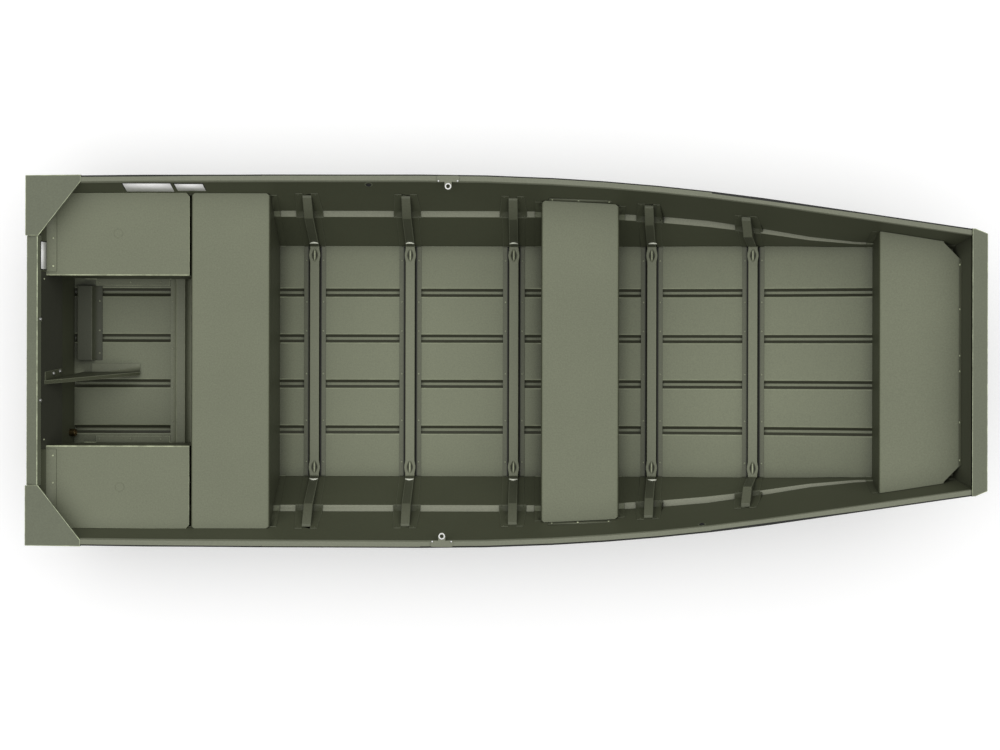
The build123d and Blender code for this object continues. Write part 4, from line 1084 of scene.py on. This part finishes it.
def bench_end_strips():
    """Upturned ends of the middle bench, flat against the sides. Returns the frames of their rivets."""
    at, height, half, rise = BENCH_END
    slant = half - STRIP_SLANT
    strip = slab([(-half, -rise), (half, -rise), (slant, rise), (-slant, rise)], STRIP_THICK)
    frames = []
    for side, way in SIDES:
        seat = seats(["side_panel_" + side], [(from_stern(at), 0.0, height)], (0.0, way, 0.0))
        # The strips take the legs' upper paint, darker than the seats': painted shade
        piece("bench_end_strip_" + side, repeated(strip, seat), paint("leg_top")[:1])
        place, first, second, normal = seat[0]
        front = place + STRIP_THICK * normal
        frames += [(front + along * first, first, second, normal) for along in BENCH_END_RIVETS]
    return frames


def seat_rivets():
    """Rivets of the boxes' angles, of the deck's lip and of the middle bench's ends."""
    spots = [(from_stern(ANGLE_RIVETS_AT), y, ABOVE) for y in ANGLE_RIVETS]
    angles = seats(["box_angle_port", "box_angle_starboard"], spots, DOWN)
    lip = seats(["bow_deck"], [(0.0, y, DECK_LIP_HEIGHT) for y in DECK_LIP_RIVETS], FORWARD, TO_PORT)
    rivets("seat_rivets", [angles, lip, bench_end_strips()], "seat", SMALL_RIVET)


def transom_bolts():
    """Screws of the transom board, and the bolts through the transom's cap and the knee."""
    screws = [(0.0, y, BOARD_SCREW_HEIGHT) for y in BOARD_SCREWS]
    board = seats(["transom_board"], screws, AFT, TO_PORT)
    rivets("board_screws", [board], "cap", SMALL_RIVET)
    cap = seats(["transom_cap"], [(0.0, y, CAP_BOLT_HEIGHT) for y in CAP_BOLTS], AFT, TO_PORT)
    knee = seats(["transom_knee"], [(0.0, y, z) for y, z in KNEE_BOLTS], AFT, TO_PORT)
    shape = repeated(bolt_head(*TRANSOM_BOLT), np.concatenate([cap, knee]))
    piece("transom_bolts", shape, [finish_of("zinc")])


FASTENERS = (rib_rivets, bottom_rivets, side_rivets, transom_rivets, well_rivets, seat_rivets, transom_bolts)


class BOAT_OT_rivets(bpy.types.Operator):
    """Makes the rivets and bolts, seated on the sheets that they go through"""

    bl_idname = "boat.rivets"
    bl_label = "Rivets and bolts"

    def execute(self, context):
        for fasten in FASTENERS:
            fasten()
        return {"FINISHED"}


class BOAT_OT_plates(bpy.types.Operator):
    """Makes the blank plates on the port side sheet and on the transom board"""

    bl_idname = "boat.plates"
    bl_label = "Blank plates"

    def execute(self, context):
        for name, node, origin, ray, half, lean in PLATES:
            seat = seats([node], [origin], ray, TO_PORT if ray == AFT else FORWARD)
            for layer, thick, key, inset in PLATE_LAYERS:
                w, h = half[0] - inset[0], half[1] - inset[1]
                corners = [(-w - lean * h, -h), (w - lean * h, -h), (w + lean * h, h), (-w + lean * h, h)]
                shape = repeated(slab(corners, thick), seat)
                piece(f"{name}_{layer}", shape, [finish_of(key)])
        return {"FINISHED"}


FLOOR_REACH = 30.0


def add_floor(scene):
    """Large flat floor that takes the boat's shadow."""
    mesh = bpy.data.meshes.new("studio_floor")
    corners = [(x * FLOOR_REACH, y * FLOOR_REACH, 0) for x, y in ((-1, -1), (1, -1), (1, 1), (-1, 1))]
    mesh.from_pydata(corners, [], [(0, 1, 2, 3)])
    lift = scene.boat_studio.floor_lift
    mesh.materials.append(pale_floor("studio_floor", scene.boat_colours.floor, lift))
    floor = bpy.data.objects.new("studio_floor", mesh)
    scene.collection.objects.link(floor)


def add_lamp(scene):
    """Wide soft lamp overhead."""
    studio = scene.boat_studio
    lamp = bpy.data.lights.new("overhead_lamp", "SUN")
    lamp.energy = studio.sun_strength
    lamp.angle = studio.sun_angle
    sun = bpy.data.objects.new("overhead_lamp", lamp)
    sun.rotation_euler = (-studio.sun_tilt, 0.0, 0.0)
    scene.collection.objects.link(sun)


def add_world(scene):
    """Even light from all round, which the camera sees as white."""
    make = Recipe("studio_world", "worlds")
    camera = make.add("LightPath").outputs["Is Camera Ray"]
    even = make.add("Background", {"Color": WHITE, "Strength": scene.boat_studio.ambient}).outputs[0]
    white = make.add("Background", {"Color": WHITE}).outputs[0]
    mixed = make.add("MixShader", {"Fac": camera, 1: even, 2: white}).outputs[0]
    scene.world = make.finish(mixed, "OutputWorld")


def add_camera(scene):
    """Camera straight above the boat, with the bow to the right."""
    studio = scene.boat_studio
    lens = bpy.data.cameras.new("camera")
    lens.lens = studio.lens
    lens.shift_x = studio.shift_x
    lens.shift_y = studio.shift_y
    lens.clip_end = 100.0
    camera = bpy.data.objects.new("camera", lens)
    camera.location = (studio.camera_x, 0.0, studio.camera_height)
    camera.rotation_euler = (0.0, 0.0, studio.roll)
    scene.collection.objects.link(camera)
    scene.camera = camera


class BOAT_OT_stage(bpy.types.Operator):
    """Makes the floor, the lamp, the world and the camera straight above the boat"""

    bl_idname = "boat.stage"
    bl_label = "Studio"

    def execute(self, context):
        scene = context.scene
        for add in (add_floor, add_lamp, add_world, add_camera):
            add(scene)
        scene.view_settings.view_transform = "Standard"
        return {"FINISHED"}


class BOAT_PT_panel(bpy.types.Panel):
    """Lists the boat's pieces and settings"""

    bl_label = "Jon boat"
    bl_idname = "BOAT_PT_panel"
    bl_space_type = "VIEW_3D"
    bl_region_type = "UI"
    bl_category = "Boat"

    def draw(self, context):
        for step in STEPS:
            self.layout.operator(step.bl_idname)
        for group in (context.scene.boat_sizes, context.scene.boat_colours, context.scene.boat_studio):
            box = self.layout.box()
            for key in group.__annotations__:
                box.prop(group, key)


STEPS = (
    BOAT_OT_hull,
    BOAT_OT_ribs,
    BOAT_OT_seating,
    BOAT_OT_rims,
    BOAT_OT_fittings,
    BOAT_OT_rivets,
    BOAT_OT_plates,
    BOAT_OT_stage,
)
CLASSES = (BoatSizes, BoatColours, StudioSettings, *STEPS, BOAT_PT_panel)


def register():
    """Registers the classes and hangs the settings on the scene."""
    for item in CLASSES:
        bpy.utils.register_class(item)
    bpy.types.Scene.boat_sizes = PointerProperty(type=BoatSizes)
    bpy.types.Scene.boat_colours = PointerProperty(type=BoatColours)
    bpy.types.Scene.boat_studio = PointerProperty(type=StudioSettings)


def unregister():
    """Takes the settings and the classes away."""
    for key in ("boat_sizes", "boat_colours", "boat_studio"):
        delattr(bpy.types.Scene, key)
    for item in reversed(CLASSES):
        bpy.utils.unregister_class(item)


def main():
    """Dresses the whole boat."""
    register()
    for step in STEPS:
        group, name = step.bl_idname.split(".")
        getattr(getattr(bpy.ops, group), name)()


if __name__ == "__main__":
    main()
